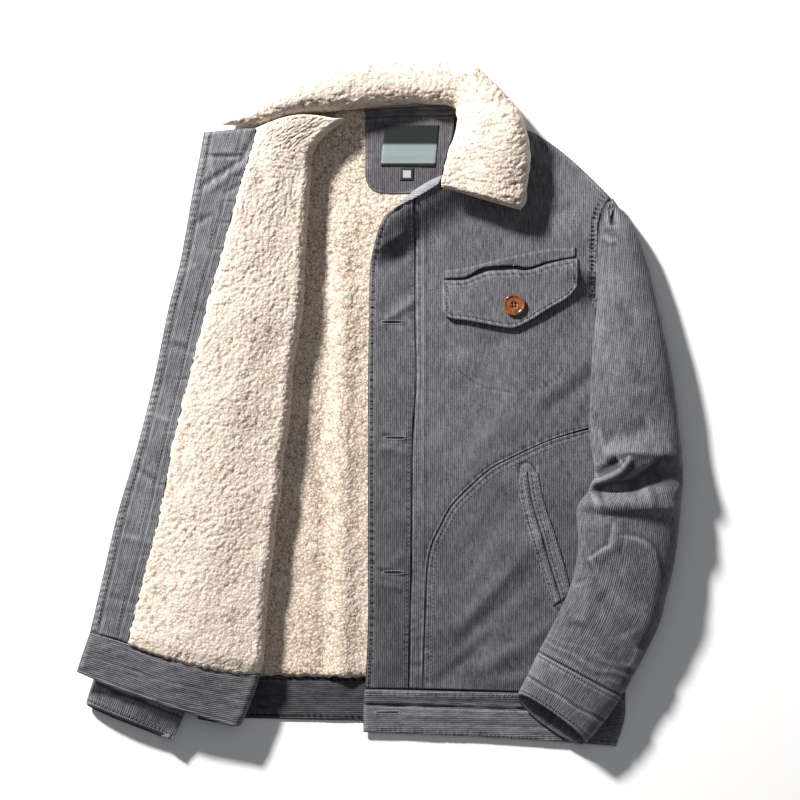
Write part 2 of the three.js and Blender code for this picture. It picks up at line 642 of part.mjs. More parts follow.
// Evenly shares the steps of a turned layer between its stretches
const STRETCHES = [
  { from: 0, to: 1, steps: 3 },
  { from: 1, to: 2, steps: 6 },
  { from: 2, to: 3, steps: 8 },
  { from: 3, to: 4, steps: 4 },
];
function turnedLayer(rows, last, along, nearest, farthest, outside) {
  const stops = [0];
  for (const stretch of STRETCHES.filter((s) => s.from < last)) {
    for (let i = 1; i <= stretch.steps; i += 1) {
      stops.push(lerp(stretch.from, stretch.to, i / stretch.steps));
    }
  }
  const steps = stops.length - 1;
  const surface = (away) => (u, v) => turnedPoint(rows, stops[Math.round(u * steps)], v, away, outside);
  return wall(steps, along, surface(nearest), surface(farthest));
}

function facing(along) {
  const start = 3 + FACING_GAP;
  const surface = (away) => (u, v) => turnedPoint(TURNED_ROWS, lerp(start, 4, u), v, away, LINING_TOP);
  return wall(4, along, surface(CLOTH + SEAM), surface(CLOTH + SEAM + DOUBLE));
}

function collar() {
  return roll(14, 36, (angle, v) => {
    const row = rowAt(COLLAR_ROWS, v);
    const [middleX, middleY] = [(row.ix + row.ox) / 2, (row.iy + row.oy) / 2];
    const side = power(Math.cos(angle), 0.8);
    const end = 1 - 0.5 * Math.abs(2 * v - 1) ** 24;
    const x = middleX + ((row.ox - row.ix) / 2) * side;
    const y = middleY + ((row.oy - row.iy) / 2) * side;
    const floor = underCollar(x, y);
    const widest = lerp(floor, row.top, 0.4);
    const height = Math.sin(angle) * end;
    const z = height > 0
      ? widest + (row.top - widest) * height ** 0.75
      : widest - (widest - floor) * Math.abs(height) ** 0.5;
    return [x, y, z];
  });
}

const ring = (radius, count, x = 0, y = 0) => Array.from({ length: count }, (_, i) => new THREE.Vector2(
  x + radius * Math.cos((2 * Math.PI * i) / count),
  y + radius * Math.sin((2 * Math.PI * i) / count),
));

function button(holes) {
  const face = new THREE.Shape(ring(BUTTON_RADIUS, 24));
  for (let i = 0; i < holes; i += 1) {
    const angle = (i + 0.5) * (Math.PI / 2);
    const [x, y] = [HOLE_REACH * Math.cos(angle), HOLE_REACH * Math.sin(angle)];
    face.holes.push(new THREE.Path(ring(HOLE_RADIUS, 8, x, y).reverse()));
  }
  return new THREE.ExtrudeGeometry(face, {
    depth: BUTTON_BODY,
    bevelEnabled: true,
    bevelThickness: BUTTON_ROUND,
    bevelSize: BUTTON_ROUND,
    bevelSegments: 1,
  });
}

const group = new THREE.Group();
function add(name, geometry, look) {
  const mesh = new THREE.Mesh(geometry, new THREE.MeshStandardMaterial(look));
  mesh.name = name;
  group.add(mesh);
  return mesh;
}

const liningTop = (x, y) => LINING_TOP + ridge(x, y);
const onLining = (x, y) => liningTop(x, y) + SEAM;
const patchTop = (x, y) => onLining(x, y) + THIN;
const onFront = (x, y) => frontTop(x, y) + CLEAR;

// The back
add('back_shell', panel(BACK_ROWS, 8, 14, () => 0, CLOTH), CORDUROY);
add('back_lining', panel(BACK_LINING_ROWS, 30, 6, () => LINING_LOW, PILE, ridge), SHERPA);
add('back_waistband', panel(BACK_BAND_ROWS, 8, 2, () => 0, DOUBLE), CORDUROY);
add('neck_tape', panel(TAPE_ROWS, 8, 1, onLining, THIN), CORDUROY);
add('hanger_patch', panel(PATCH_ROWS, 8, 6, onLining, THIN), CORDUROY);
add('label', panel(LABEL_ROWS, 8, 2, (x, y) => patchTop(x, y) + SEAM, THIN), LABEL);
add('size_tab', panel(SIZE_TAB_ROWS, 2, 2, (x, y) => patchTop(x, y) + SEAM, THIN), TAB);

// The closed left front
add('left_front', panel(FRONT_ROWS, 11, 26, frontLow, CLOTH), CORDUROY);
add('left_front_lower', panel(POCKET_PANEL_ROWS, 12, 14, frontLow, CLOTH), CORDUROY);
add('left_placket', panel(PLACKET_ROWS, 4, 20, frontLow, DOUBLE), CORDUROY);
add('left_waistband', panel(FRONT_BAND_ROWS, 12, 3, frontLow, DOUBLE), CORDUROY);
add('left_neck_edge', panel(NECK_EDGE_ROWS, 8, 1, (x, y) => placketTop(x, y) + CLEAR, THIN), CORDUROY_EDGE);
add('chest_welt', strip(WELT_SECTIONS, 10, 1, onFront, CLOTH, 0), CORDUROY);
add('chest_flap', strip(FLAP_SECTIONS, 14, 4, onFront, CLOTH, FLAP_LIFT), CORDUROY);
const chestButton = add('chest_button', button(4), BUTTON);
const flapEdge = ['top', 'bottom'].map((name) => columnAt(FLAP_SECTIONS, name, BUTTON_X));
const seatShare = (flapEdge[0] - BUTTON_Y + BUTTON_RADIUS) / (flapEdge[0] - flapEdge[1]);
const flapTop = onFront(BUTTON_X, BUTTON_Y) + CLOTH + FLAP_LIFT * seatShare ** 2 + SEAM;
chestButton.position.set(BUTTON_X, BUTTON_Y, flapTop + BUTTON_ROUND);
add('hand_pocket_welt_left', panel(HAND_LEFT_ROWS, 2, 8, onFront, CLOTH), CORDUROY);
add('hand_pocket_welt_right', panel(HAND_RIGHT_ROWS, 2, 8, onFront, CLOTH), CORDUROY);

// The sleeves
for (const [name, rows, folds, around, along, low] of [
  ['left', LEFT_SLEEVE_ROWS, ELBOW_FOLDS, 8, 34, underLeftSleeve],
  ['right', RIGHT_SLEEVE_ROWS, NO_FOLDS, 7, 12, underRightSleeve],
]) {
  add(`${name}_sleeve`, sleeveHalf(rows, folds, around, along, low, CLOTH, 0, SLEEVE_SEAM), CORDUROY);
  add(`${name}_undersleeve`, sleeveHalf(rows, folds, around, along, low, CLOTH, Math.PI, 0), CORDUROY);
}
add('left_cuff', sleeve(LEFT_CUFF_ROWS, NO_FOLDS, 16, 3, underLeftSleeve, DOUBLE), CORDUROY);
add('right_cuff', sleeve(RIGHT_CUFF_ROWS, NO_FOLDS, 14, 3, underRightSleeve, DOUBLE), CORDUROY);

// The turned right front
add('right_front_shell', turnedLayer(TURNED_ROWS, 4, 12, 0, CLOTH, LINING_TOP), CORDUROY);
add('right_front_lining', turnedLayer(TURNED_ROWS, 3, 12, LINING_LOW, LINING_TOP, LINING_TOP), SHERPA);
add('right_front_facing', facing(12), CORDUROY);
add('right_waistband', turnedLayer(TURNED_BAND_ROWS, 4, 3, 0, DOUBLE, DOUBLE), CORDUROY);

// The buttons of the front opening, on the side of the turned front that faces down
FRONT_BUTTONS.forEach((place, i) => {
  const rows = place.rows === 'front' ? TURNED_ROWS : TURNED_BAND_ROWS;
  const reach = place.rows === 'front' ? LINING_TOP : DOUBLE;
  const at = (across, v) => new THREE.Vector3(...turnedPoint(rows, across, v, 0, reach));
  const seat = at(place.across, place.v);
  const over = at(place.across + 0.1, place.v).sub(seat);
  const along = at(place.across, place.v + 0.02).sub(seat);
  const up = over.cross(along).normalize();
  up.multiplyScalar(Math.sign(up.z));
  const piece = add(`front_button_${i + 1}`, button(0), BUTTON);
  piece.quaternion.setFromUnitVectors(new THREE.Vector3(0, 0, 1), up);
  piece.position.copy(seat.addScaledVector(up, -CLEAR - BUTTON_BODY - BUTTON_ROUND));
});

add('collar', collar(), SHERPA);

// The origin stands under the middle of the outline
const box = new THREE.Box3().setFromObject(group);
const middle = box.getCenter(new THREE.Vector3());
group.position.set(-middle.x, -middle.y, -box.min.z);
group.updateMatrixWorld(true);

export default group;
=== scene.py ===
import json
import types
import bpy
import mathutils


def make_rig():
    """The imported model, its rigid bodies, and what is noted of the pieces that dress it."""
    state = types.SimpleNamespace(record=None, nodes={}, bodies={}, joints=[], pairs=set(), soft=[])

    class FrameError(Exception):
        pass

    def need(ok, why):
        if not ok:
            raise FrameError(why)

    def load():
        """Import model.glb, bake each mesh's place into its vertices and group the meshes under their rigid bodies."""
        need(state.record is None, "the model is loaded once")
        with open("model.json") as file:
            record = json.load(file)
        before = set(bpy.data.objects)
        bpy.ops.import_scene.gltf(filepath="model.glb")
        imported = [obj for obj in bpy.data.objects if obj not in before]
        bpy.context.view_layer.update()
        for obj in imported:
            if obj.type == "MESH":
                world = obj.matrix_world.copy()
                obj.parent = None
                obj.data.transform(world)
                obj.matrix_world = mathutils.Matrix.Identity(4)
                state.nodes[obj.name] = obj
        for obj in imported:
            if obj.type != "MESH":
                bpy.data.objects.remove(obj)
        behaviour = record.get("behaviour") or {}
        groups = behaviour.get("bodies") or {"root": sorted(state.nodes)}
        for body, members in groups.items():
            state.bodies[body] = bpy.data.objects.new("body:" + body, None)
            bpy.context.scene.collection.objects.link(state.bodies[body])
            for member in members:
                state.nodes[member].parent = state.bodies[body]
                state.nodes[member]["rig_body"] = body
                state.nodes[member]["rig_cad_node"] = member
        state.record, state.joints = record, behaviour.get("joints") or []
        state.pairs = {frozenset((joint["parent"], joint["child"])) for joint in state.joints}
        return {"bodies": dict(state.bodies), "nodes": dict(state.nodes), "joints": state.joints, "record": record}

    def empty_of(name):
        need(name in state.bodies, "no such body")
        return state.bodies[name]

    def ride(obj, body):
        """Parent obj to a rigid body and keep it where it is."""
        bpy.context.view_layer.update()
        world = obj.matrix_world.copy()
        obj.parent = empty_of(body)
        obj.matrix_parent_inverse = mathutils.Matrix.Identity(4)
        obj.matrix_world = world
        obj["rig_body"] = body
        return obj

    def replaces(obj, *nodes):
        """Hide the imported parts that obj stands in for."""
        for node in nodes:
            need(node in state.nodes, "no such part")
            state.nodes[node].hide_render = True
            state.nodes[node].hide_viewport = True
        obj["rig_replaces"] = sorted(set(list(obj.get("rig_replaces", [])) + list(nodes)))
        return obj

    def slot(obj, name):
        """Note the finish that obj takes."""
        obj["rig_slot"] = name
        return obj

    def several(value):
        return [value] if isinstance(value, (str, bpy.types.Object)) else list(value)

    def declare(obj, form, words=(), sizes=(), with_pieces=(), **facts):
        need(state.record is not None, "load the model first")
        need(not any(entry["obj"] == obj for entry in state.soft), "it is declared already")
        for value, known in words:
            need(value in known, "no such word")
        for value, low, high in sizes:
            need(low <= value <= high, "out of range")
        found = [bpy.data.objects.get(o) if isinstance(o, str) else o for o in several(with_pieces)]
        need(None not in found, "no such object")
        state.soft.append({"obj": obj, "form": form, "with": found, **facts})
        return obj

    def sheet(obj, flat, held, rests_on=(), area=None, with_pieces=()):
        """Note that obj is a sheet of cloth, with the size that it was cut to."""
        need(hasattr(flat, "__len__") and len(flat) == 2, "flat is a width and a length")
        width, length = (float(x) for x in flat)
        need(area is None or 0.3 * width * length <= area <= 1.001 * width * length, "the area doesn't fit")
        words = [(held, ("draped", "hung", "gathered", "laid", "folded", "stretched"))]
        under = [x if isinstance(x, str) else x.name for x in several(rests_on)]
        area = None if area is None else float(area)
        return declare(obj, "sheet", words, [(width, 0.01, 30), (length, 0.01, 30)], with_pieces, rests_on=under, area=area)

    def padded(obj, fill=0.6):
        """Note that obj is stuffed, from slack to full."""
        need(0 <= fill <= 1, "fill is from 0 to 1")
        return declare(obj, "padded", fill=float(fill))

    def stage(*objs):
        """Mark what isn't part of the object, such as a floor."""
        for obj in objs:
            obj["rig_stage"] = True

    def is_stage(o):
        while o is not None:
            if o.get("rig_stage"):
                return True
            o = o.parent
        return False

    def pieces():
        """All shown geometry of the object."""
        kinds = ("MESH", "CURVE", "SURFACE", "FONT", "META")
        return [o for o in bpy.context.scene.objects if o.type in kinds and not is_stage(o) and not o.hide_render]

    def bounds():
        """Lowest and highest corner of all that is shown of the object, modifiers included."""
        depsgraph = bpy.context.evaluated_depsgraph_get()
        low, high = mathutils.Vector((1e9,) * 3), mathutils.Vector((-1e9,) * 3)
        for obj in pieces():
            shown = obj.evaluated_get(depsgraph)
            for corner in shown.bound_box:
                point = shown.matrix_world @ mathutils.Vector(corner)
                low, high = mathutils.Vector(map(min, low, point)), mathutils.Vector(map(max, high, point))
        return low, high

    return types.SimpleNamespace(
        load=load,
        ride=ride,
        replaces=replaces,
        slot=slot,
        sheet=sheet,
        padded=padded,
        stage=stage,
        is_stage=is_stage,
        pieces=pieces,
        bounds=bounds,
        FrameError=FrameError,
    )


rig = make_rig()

bl_info = {
    "name": "Sherpa lined jacket",
    "version": (1, 0, 0),
    "blender": (4, 5, 0),
    "location": "View3D > Sidebar > Jacket",
    "description": "A corduroy jacket with a sherpa lining, laid flat with one front turned back",
    "category": "Object",
}

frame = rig.load()
CAD_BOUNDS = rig.bounds()

import json
import math

import bpy
import numpy as np
from mathutils import Matrix, Vector

MM = 0.001
# The source moves the whole garment by this much, in mm, to stand over the middle of its box
SHIFT = np.array([-0.0900421142578125, 0.0339508056640625, 0.0])

# Cloth, in mm
SEAM = 0.3
CLEAR = 0.6
CLOTH = 1.6
DOUBLE = 3.0
PILE = 6.0
LINING_LOW = CLOTH + SEAM
LINING_TOP = LINING_LOW + PILE
THIN = 1.0
EDGE_ROLL = 1.3

# How the closed front lies
FRONT_REST = LINING_TOP + 0.6
FRONT_CROWN = 4.0
FRONT_LEFT = -13.0
SIDE_X = 262.0
ARMHOLE_X = 236.0
ARMHOLE_FOOT = 112.0
SIDE_ROLL = 26.0
ARMHOLE_ROLL = 60.0
ARMHOLE_RISE = 16.0
HEM_REST = DOUBLE + CLEAR
HEM_FALL_FROM = -313.0
HEM_FALL = 16.0

# How the turned front lies
FOLD_RADIUS = 6.0
FOLD_REST = LINING_TOP + SEAM + PILE + SEAM + CLOTH
FACING_GAP = 0.008

# The soft ridge in the back lining beside the turned front
RIDGE_X = -40.0
RIDGE_WIDTH = 13.0
RIDGE_HEIGHT = 5.0
RIDGE_END = 220.0
COLLAR_STEP = 16.0
# The neck line of the closed front, which the collar's stand holds up
NECK_LINE = [(0, 196), (20, 214), (62, 238), (70, 256)]
NECK_LIFT = 21.0
NECK_REACH = 52.0
FLAP_LIFT = 4.0
BUTTON_PLACE = (145.0, 106.0)
BUTTON_RADIUS = 11.5
BUTTON_THICK = 4.6
# No sheet is said to be shorter than this, in metres
SHORTEST_SHEET = 0.0101

# The camera looks straight down and takes in the photograph's frame
LENS_LENGTH = 208.0
CAMERA_PLACE = (0.0216, 0.0032, 5.017)


def table(names, *rows):
    """A short table as one array for each named column."""
    columns = names.split()
    return {name: np.array([row[i] for row in rows], float) for i, name in enumerate(columns)}


SHOULDER = table(
    "x y",
    (60, 318), (110, 314), (155, 301), (189, 275), (213, 254), (251, 222), (290, 190),
)
BACK_ROWS = table(
    "lx ly rx ry bow",
    (-80, 311, 98, 314, 0), (-95, 298, 152, 298, 6), (-150, 257, 212, 252, 0),
    (-187, 220, 249.5, 221, 0), (-178, 190, 240, 190, 0), (-173, 140, 235.5, 140, 0),
    (-180, 108, 240, 104, 0), (-197, 86, 259, 82, 0), (-200, 0, 262, 0, 0),
    (-202, -150, 264, -150, 0), (-203, -294, 266, -300, 0),
)
BACK_LINING_ROWS = table(
    "lx ly rx ry bow",
    (-92, 313, 74, 321, 2), (-120, 262, 82, 266, 0), (-168, 215, 150, 238, 0),
    (-168, 165, 205, 170, 0), (-176, 100, 204, 100, 0), (-193, 40, 218, 40, 0),
    (-197, -150, 221, -150, 0), (-198, -293.4, 221, -299, 0),
)
BACK_BAND_ROWS = table(
    "lx ly rx ry bow",
    (-203, -294.3, 266, -300.3, 0), (-200, -318, 265, -324, 0), (-197, -341, 261, -353, 1),
)
FRONT_ROWS = table(
    "lx ly rx ry bow",
    (88, 312, 250, 223, 24), (82, 286, 243, 214, 14), (72, 256, 237, 198, 8),
    (62, 236, 235.5, 175, 3), (38.8, 220.5, 235.5, 150, 0), (38.3, 172, 235.3, 120, 0),
    (38.3, 120, 245, 95, 0), (38.8, 65, 261, 55, 0), (39.3, 25, 262, -16, 0),
    (37.8, -8, 227, -26.7, 0), (36.5, -30, 185, -39.7, 0), (35.3, -52, 143, -58.7, 0),
    (35, -70, 119, -71.7, 0), (34.9, -88, 96, -91.7, 0), (34.8, -107, 77, -111.8, 0),
    (34.6, -129, 65, -133.9, 0), (34.4, -151, 56, -154, 0), (34, -180, 51, -180, 0),
    (33, -228, 49, -227, 0), (31.5, -309.7, 46, -309.7, 0),
)
POCKET_PANEL_ROWS = table(
    "lx ly rx ry bow",
    (227, -28.6, 262, -26, 0), (185, -40.5, 262, -36, 0), (143, -59.6, 262.5, -50, 0),
    (119, -72.6, 263, -68, 0), (96.3, -92.5, 263, -88, 0), (77.5, -112.4, 263, -108, 0),
    (65.5, -134.4, 263.5, -130, 0), (56.5, -154.4, 264, -152, 0), (51.5, -180.3, 264, -180, 0),
    (49.5, -227.3, 265, -232, 0), (46.5, -309.7, 266, -316.7, 0),
)
PLACKET_ROWS = table(
    "lx ly rx ry bow",
    (20, 213, 36.5, 222, 0), (4, 200, 37, 196, 0), (-6, 172, 37.6, 168, 0),
    (-11, 142, 38, 140, 0), (-12, 90, 38, 90, 0), (-13, 25, 39, 25, 0),
    (-13, -40, 35, -40, 0), (-13, -157, 34, -157, 0), (-13, -234, 32.5, -234, 0),
    (-16, -309.7, 31, -309.7, 0),
)
FRONT_BAND_ROWS = table(
    "lx ly rx ry bow",
    (-17, -310, 266, -317, 0), (-18, -333, 265, -342, 0), (-18, -357, 256, -372, 2),
)
NECK_EDGE_ROWS = table("lx ly rx ry bow", (14, 208.5, 68, 246, 5), (20, 212, 63, 235.5, -1.5))
FLAP_SECTIONS = table(
    "x top bottom",
    (67, 133.5, 98), (74, 134, 92), (93, 135.5, 89), (110, 144.5, 86), (128, 147, 82.5),
    (145, 147.5, 81), (161, 145.5, 88), (182, 151.5, 101), (205, 156.5, 115), (215, 156.5, 128),
)
WELT_SECTIONS = table(
    "x top bottom",
    (69, 143.5, 134.3), (94, 147, 136.3), (110, 151, 145.3), (128, 156, 147.8),
    (147, 160, 148.3), (161, 163, 146.3), (182, 167, 152.5), (212, 168, 158),
)
HAND_LEFT_ROWS = table(
    "lx ly rx ry bow",
    (150, -77, 159, -74, 0), (152, -109, 164, -107, 0), (162, -145, 174.5, -142, 0),
    (171, -172, 184, -176, 0), (187, -220, 196, -214, 0),
)
HAND_RIGHT_ROWS = table(
    "lx ly rx ry bow",
    (160, -74, 171, -75, 0), (165, -107, 177.5, -106, 0), (175.5, -142, 189, -140, 0),
    (185, -176, 199, -172, 0), (197, -214, 207, -206, 0),
)
LEFT_SLEEVE_ROWS = table(
    "lx ly rx ry top bow",
    (237, 114.5, 251.8, 222.5, 26, 7.4), (232.5, 88.6, 280.8, 175, 36, 4),
    (229, 54, 301.3, 100.4, 43, 1), (226.8, 6.5, 315.4, 33.5, 47, 0),
    (225.7, -29.2, 325, -40, 49, 0), (231, -81, 327.2, -81, 50, 0),
    (214, -110.2, 325, -110.2, 50, 0), (212.8, -128.5, 324, -126, 50, 0),
    (213.8, -158.8, 318.6, -170.6, 48, 0), (205.2, -198.7, 310, -207, 46, 0),
    (190.1, -232.2, 299.2, -246.2, 43, 0), (171.6, -268, 262, -317, 40, 0),
)
LEFT_CUFF_ROWS = table(
    "lx ly rx ry top back out",
    (171.2, -268.5, 261.6, -317.5, 42, 0, 0), (160, -292, 243, -344, 41, 0, 0),
    (148.5, -315.4, 222.5, -368.5, 37, 7, 10),
)
RIGHT_SLEEVE_ROWS = table(
    "lx ly rx ry top",
    (-192, 214, -177, 122, 30), (-207, 165, -150, 92, 34), (-222, 100, -135, 55, 36),
    (-240, 10, -137, -20, 36), (-257, -80, -153, -108, 36), (-282, -175, -180, -210, 35),
    (-304, -278, -205, -318, 33),
)
RIGHT_CUFF_ROWS = table(
    "lx ly rx ry top back out",
    (-304.2, -278.5, -205.2, -318.5, 33, 0, 0), (-311, -301, -213, -341, 27, 0, 0),
    (-319, -326, -224, -363, 18, 0, 4),
)
ELBOW_FOLDS = table(
    "at lean width height",
    (0.34, -0.02, 0.03, -3), (0.41, -0.02, 0.03, 4), (0.475, -0.03, 0.03, -9),
    (0.54, 0.02, 0.03, 4), (0.63, 0.05, 0.035, -4), (0.82, 0.06, 0.04, -3),
)
TURNED_ROWS = table(
    "hx hy fx fy sx sy ex ey zm zs ze bow",
    (-97, 296, -37, 307, -131, 297, -190, 292, 34, 36, 26, 8),
    (-125, 272, -70, 277, -139, 265, -195, 262, 36, 39, 31, 3),
    (-160, 243, -73, 241, -150, 230, -201, 231, 37, 42, 35, 1),
    (-171, 160, -79, 165, -170, 155, -214, 157, 39, 44, 37, 0),
    (-179, 102, -83, 101, -185, 101, -228, 100, 40, 44, 37, 0),
    (-198, 20, -94, 20, -205, 22, -244, 22, 41, 44, 37, 0),
    (-199, -45, -101, -45, -221, -45, -261, -46, 41, 44, 37, 0),
    (-200, -117, -108, -117, -235, -120, -283, -121, 41, 43, 36, 0),
    (-201, -185, -116, -185, -252, -187, -299, -190, 41, 42, 36, 0),
    (-202, -289, -128, -292, -270, -258, -312, -246, 40, 40, 36, -5),
)
TURNED_BAND_ROWS = table(
    "hx hy fx fy sx sy ex ey zm zs ze bow",
    (-202, -294, -129, -292.4, -270, -258.3, -312, -246.3, 40, 40, 36, -5),
    (-200, -318, -140, -322, -278, -284, -320, -269, 37, 37, 34, -3),
    (-197, -342, -151, -349, -285, -308, -327, -290, 33, 33, 30, -1),
)
COLLAR_ROWS = table(
    "ix iy ox oy top",
    (-140, 299.5, -171, 301, 40), (-127, 300.5, -151, 315, 46), (-92, 310.5, -109, 337.5, 48),
    (-51, 315, -69, 356.5, 45), (-15, 319.5, -25, 368, 40), (16, 322.5, 17, 371.5, 37),
    (50, 324, 62, 371.5, 37), (77, 321.5, 97, 368, 38), (83, 311, 124, 347, 43),
    (82.5, 298, 149, 317, 48), (78, 284, 160, 287, 50), (73, 268, 162, 262, 50),
    (68.5, 252, 160, 240, 49), (65, 238, 157, 217, 47.5), (66, 233, 152, 208, 45),
)
TAPE_ROWS = table("lx ly rx ry bow", (-16, 317.5, 82, 322.5, 1), (-16, 309.2, 82, 311.6, 0))
PATCH_ROWS = table(
    "lx ly rx ry bow",
    (-16, 309.0, 81, 311.3, 0), (-16, 290, 79, 290, 0), (-16, 262, 71, 262, 0),
    (-15.5, 243, 66.5, 244, 0), (-9, 231, 62, 236, -3), (2, 227.5, 58, 230, -2),
)
LABEL_ROWS = table("lx ly rx ry bow", (5, 301, 64, 301, 0), (1, 256.5, 60, 255.5, 0))
SIZE_TAB_ROWS = table("lx ly rx ry bow", (23, 254.8, 37, 254.8, 0), (21.5, 241, 36, 241, 0))

# Soft creases pressed into the closed front, from end to end in plan, in mm
FRONT_CREASES = table(
    "x0 y0 x1 y1 width height",
    (60, -150, 150, 30, 16, 1.2), (80, -190, 150, -90, 12, -1.6), (90, -235, 185, -130, 10, 1.6),
    (80, -262, 160, -185, 9, -1.6), (110, -285, 205, -225, 9, 1.2), (60, -300, 120, -250, 8, -1.2),
    (150, -20, 230, 60, 14, 1.2), (175, -10, 240, 40, 9, -1.4), (60, 60, 140, 70, 12, -0.8),
    (60, 170, 120, 240, 12, 1.0), (150, 190, 210, 215, 8, -1.0), (0, 86, 38, 112, 5, 2.0),
    (-2, 98, 30, 122, 7, -1.6), (-2, 90, 28, 85, 3.4, -1.2), (2, -34, 30, -41, 3.4, -1.2),
    (-2, -180, 28, -187, 3.4, -1.2), (0, -46, 30, -52, 4, 1.0), (-4, -193, 26, -200, 4, 1.0),
    (-4, 166, 26, 184, 5, 1.8), (0, 148, 30, 164, 7, -1.4), (-8, -60, 30, -30, 6, 0.9),
    (-8, -190, 28, -160, 6, 0.9),
    (50, -40, 110, 40, 13, -1.0), (215, -250, 240, -120, 9, -1.4), (120, -300, 240, -280, 8, 1.0),
)
# Folds of the left sleeve: points along each, how soft it is to the left and right, and its height
SLEEVE_FOLDS = (
    ([(237, -59), (250, -54), (265, -52), (284, -51.6), (305, -53), (322, -50)], 15, 5.5, 3.5),
    ([(218, -97), (231, -87), (246, -80), (258, -73), (266, -63), (268, -55)], 3.8, 4.6, 4.4),
    ([(231, -77), (246, -69), (259, -62)], 5.4, 5.4, -5.2),
    ([(226, -97), (240, -92), (258, -89), (273, -86), (290, -75), (307, -63)], 6.0, 15.0, -5.4),
    ([(224, -112), (250, -108), (275, -105), (297, -99)], 14.0, 18.0, 2.6),
    ([(251.6, -126), (250.3, -142), (248.8, -153), (241, -158), (230, -166), (222, -171)], 9.0, 3.4, 2.8),
    ([(250, -147), (263, -145), (280, -149), (290, -156), (296, -168), (298.5, -185), (296, -206),
      (288, -234), (278, -256)], 4.0, 13.0, 2.6),
    ([(280, -262), (274, -276), (268, -288)], 4.0, 4.0, 1.8),
    ([(236, -36), (262, -30), (292, -20)], 9.0, 10.0, -2.2),
    ([(249, 216), (251, 204), (252, 190)], 4.0, 3.0, -4.0),
    ([(243, 212), (245, 200), (249, 186)], 3.0, 3.0, 0.9),
    ([(240, 183), (249, 176), (257, 178)], 3.4, 3.4, 0.8),
    ([(262, 120), (274, 62), (283, 10)], 14.0, 14.0, -1.6),
    ([(232, -205), (256, -226), (270, -250)], 12.0, 12.0, -1.5),
    ([(214, -190), (220, -214), (214, -240)], 8.0, 10.0, 1.6),
)
# Creases of the facing on the turned front
FACING_CREASES = table(
    "x0 y0 x1 y1 width height",
    (-134, 294, -150, 262, 3.0, -2.4), (-150, 262, -192, 234, 3.0, -2.6), (-146, 256, -186, 228, 4.0, 1.6),
    (-148, 266, -190, 266, 2.4, -2.2), (-160, 272, -184, 270, 4.0, 1.0), (-168, 226, -150, 236, 3.0, -1.4),
    (-180, 205, -205, 190, 3.5, -1.4), (-196, 150, -216, 138, 3.5, 1.0), (-206, 60, -232, 66, 4.0, -1.2),
    (-224, -20, -252, -10, 4.0, 1.1), (-236, -84, -262, -70, 4.0, -1.2), (-246, -150, -276, -142, 4.0, 1.1),
    (-262, -214, -292, -206, 4.0, -1.1), (-182, 268, -178, 232, 3.0, 1.3),
)


def lerp(a, b, t):
    return a + (b - a) * t


def ease(t):
    t = np.clip(t, 0, 1)
    return t * t * (3 - 2 * t)


def signed_power(value, exponent):
    return np.sign(value) * np.abs(value) ** exponent


def through(knots, values, t):
    """The value at t of a smooth curve through the knots."""
    knots = np.asarray(knots, float)
    values = np.asarray(values, float)
    t = np.asarray(t, float)
    slopes = np.empty(len(knots))
    slopes[0] = (values[1] - values[0]) / (knots[1] - knots[0])
    slopes[-1] = (values[-1] - values[-2]) / (knots[-1] - knots[-2])
    slopes[1:-1] = (values[2:] - values[:-2]) / (knots[2:] - knots[:-2])
    i = np.clip(np.searchsorted(knots[1:], t, side="left"), 0, len(knots) - 2)
    span = knots[i + 1] - knots[i]
    s = (t - knots[i]) / span
    start = (2 * s**3 - 3 * s**2 + 1) * values[i] + (s**3 - 2 * s**2 + s) * span * slopes[i]
    end = (3 * s**2 - 2 * s**3) * values[i + 1] + (s**3 - s**2) * span * slopes[i + 1]
    return start + end


def rows_at(rows, v):
    """Every column of a table at v from 0 to 1, smooth from row to row."""
    count = len(next(iter(rows.values())))
    at = np.clip(v, 0, 1) * (count - 1)
    return {name: through(np.arange(count), column, at) for name, column in rows.items()}


RANDOM = np.random.default_rng(11).random((256, 256))


def chance(i, j, seed):
    return RANDOM[(i + seed * 57) % 256, (j + seed * 131) % 256]


def noise(x, y, size, seed):
    """Smooth random waves between -1 and 1, about size mm across."""
    a = np.asarray(x) / size
    b = np.asarray(y) / size
    i = np.floor(a).astype(int)
    j = np.floor(b).astype(int)
    s = ease(a - i)
    t = ease(b - j)
    low = lerp(chance(i, j, seed), chance(i + 1, j, seed), s)
    high = lerp(chance(i, j + 1, seed), chance(i + 1, j + 1, seed), s)
    return 2 * lerp(low, high, t) - 1


def curls(x, y, size, seed):
    """Round tufts of pile about size mm across: their height from 0 to 1, and a number for each."""
    a = np.asarray(x) / size
    b = np.asarray(y) / size
    a = a + 0.55 * noise(x, y, size * 2.6, seed + 5) + 0.8 * noise(x, y, size * 7, seed + 6)
    b = b + 0.55 * noise(x, y, size * 2.6, seed + 9) + 0.8 * noise(x, y, size * 7, seed + 8)
    i = np.floor(a).astype(int)
    j = np.floor(b).astype(int)
    near = np.full(a.shape, 9.0)
    tuft = np.zeros(a.shape)
    for di in (-1, 0, 1):
        for dj in (-1, 0, 1):
            ci = i + di
            cj = j + dj
            px = ci + 0.06 + 0.88 * chance(ci, cj, seed)
            py = cj + 0.06 + 0.88 * chance(ci, cj, seed + 1)
            away = np.hypot(a - px, b - py)
            closer = away < near
            near = np.where(closer, away, near)
            tuft = np.where(closer, chance(ci, cj, seed + 2), tuft)
    height = np.sqrt(np.clip(1 - (near / 0.7) ** 2, 0, 1))
    return height * lerp(0.7, 1.0, tuft), tuft


def pile_height(x, y, size, seed):
    """How high the sherpa's curls stand at x, y, from 0 to 1: tufts with smaller curls on them."""
    tufts, number = curls(x, y, size, seed)
    small, _ = curls(x, y, size * 0.55, seed + 20)
    return np.clip(0.76 * tufts + 0.24 * small + 0.1 * (number - 0.5), 0, 1)


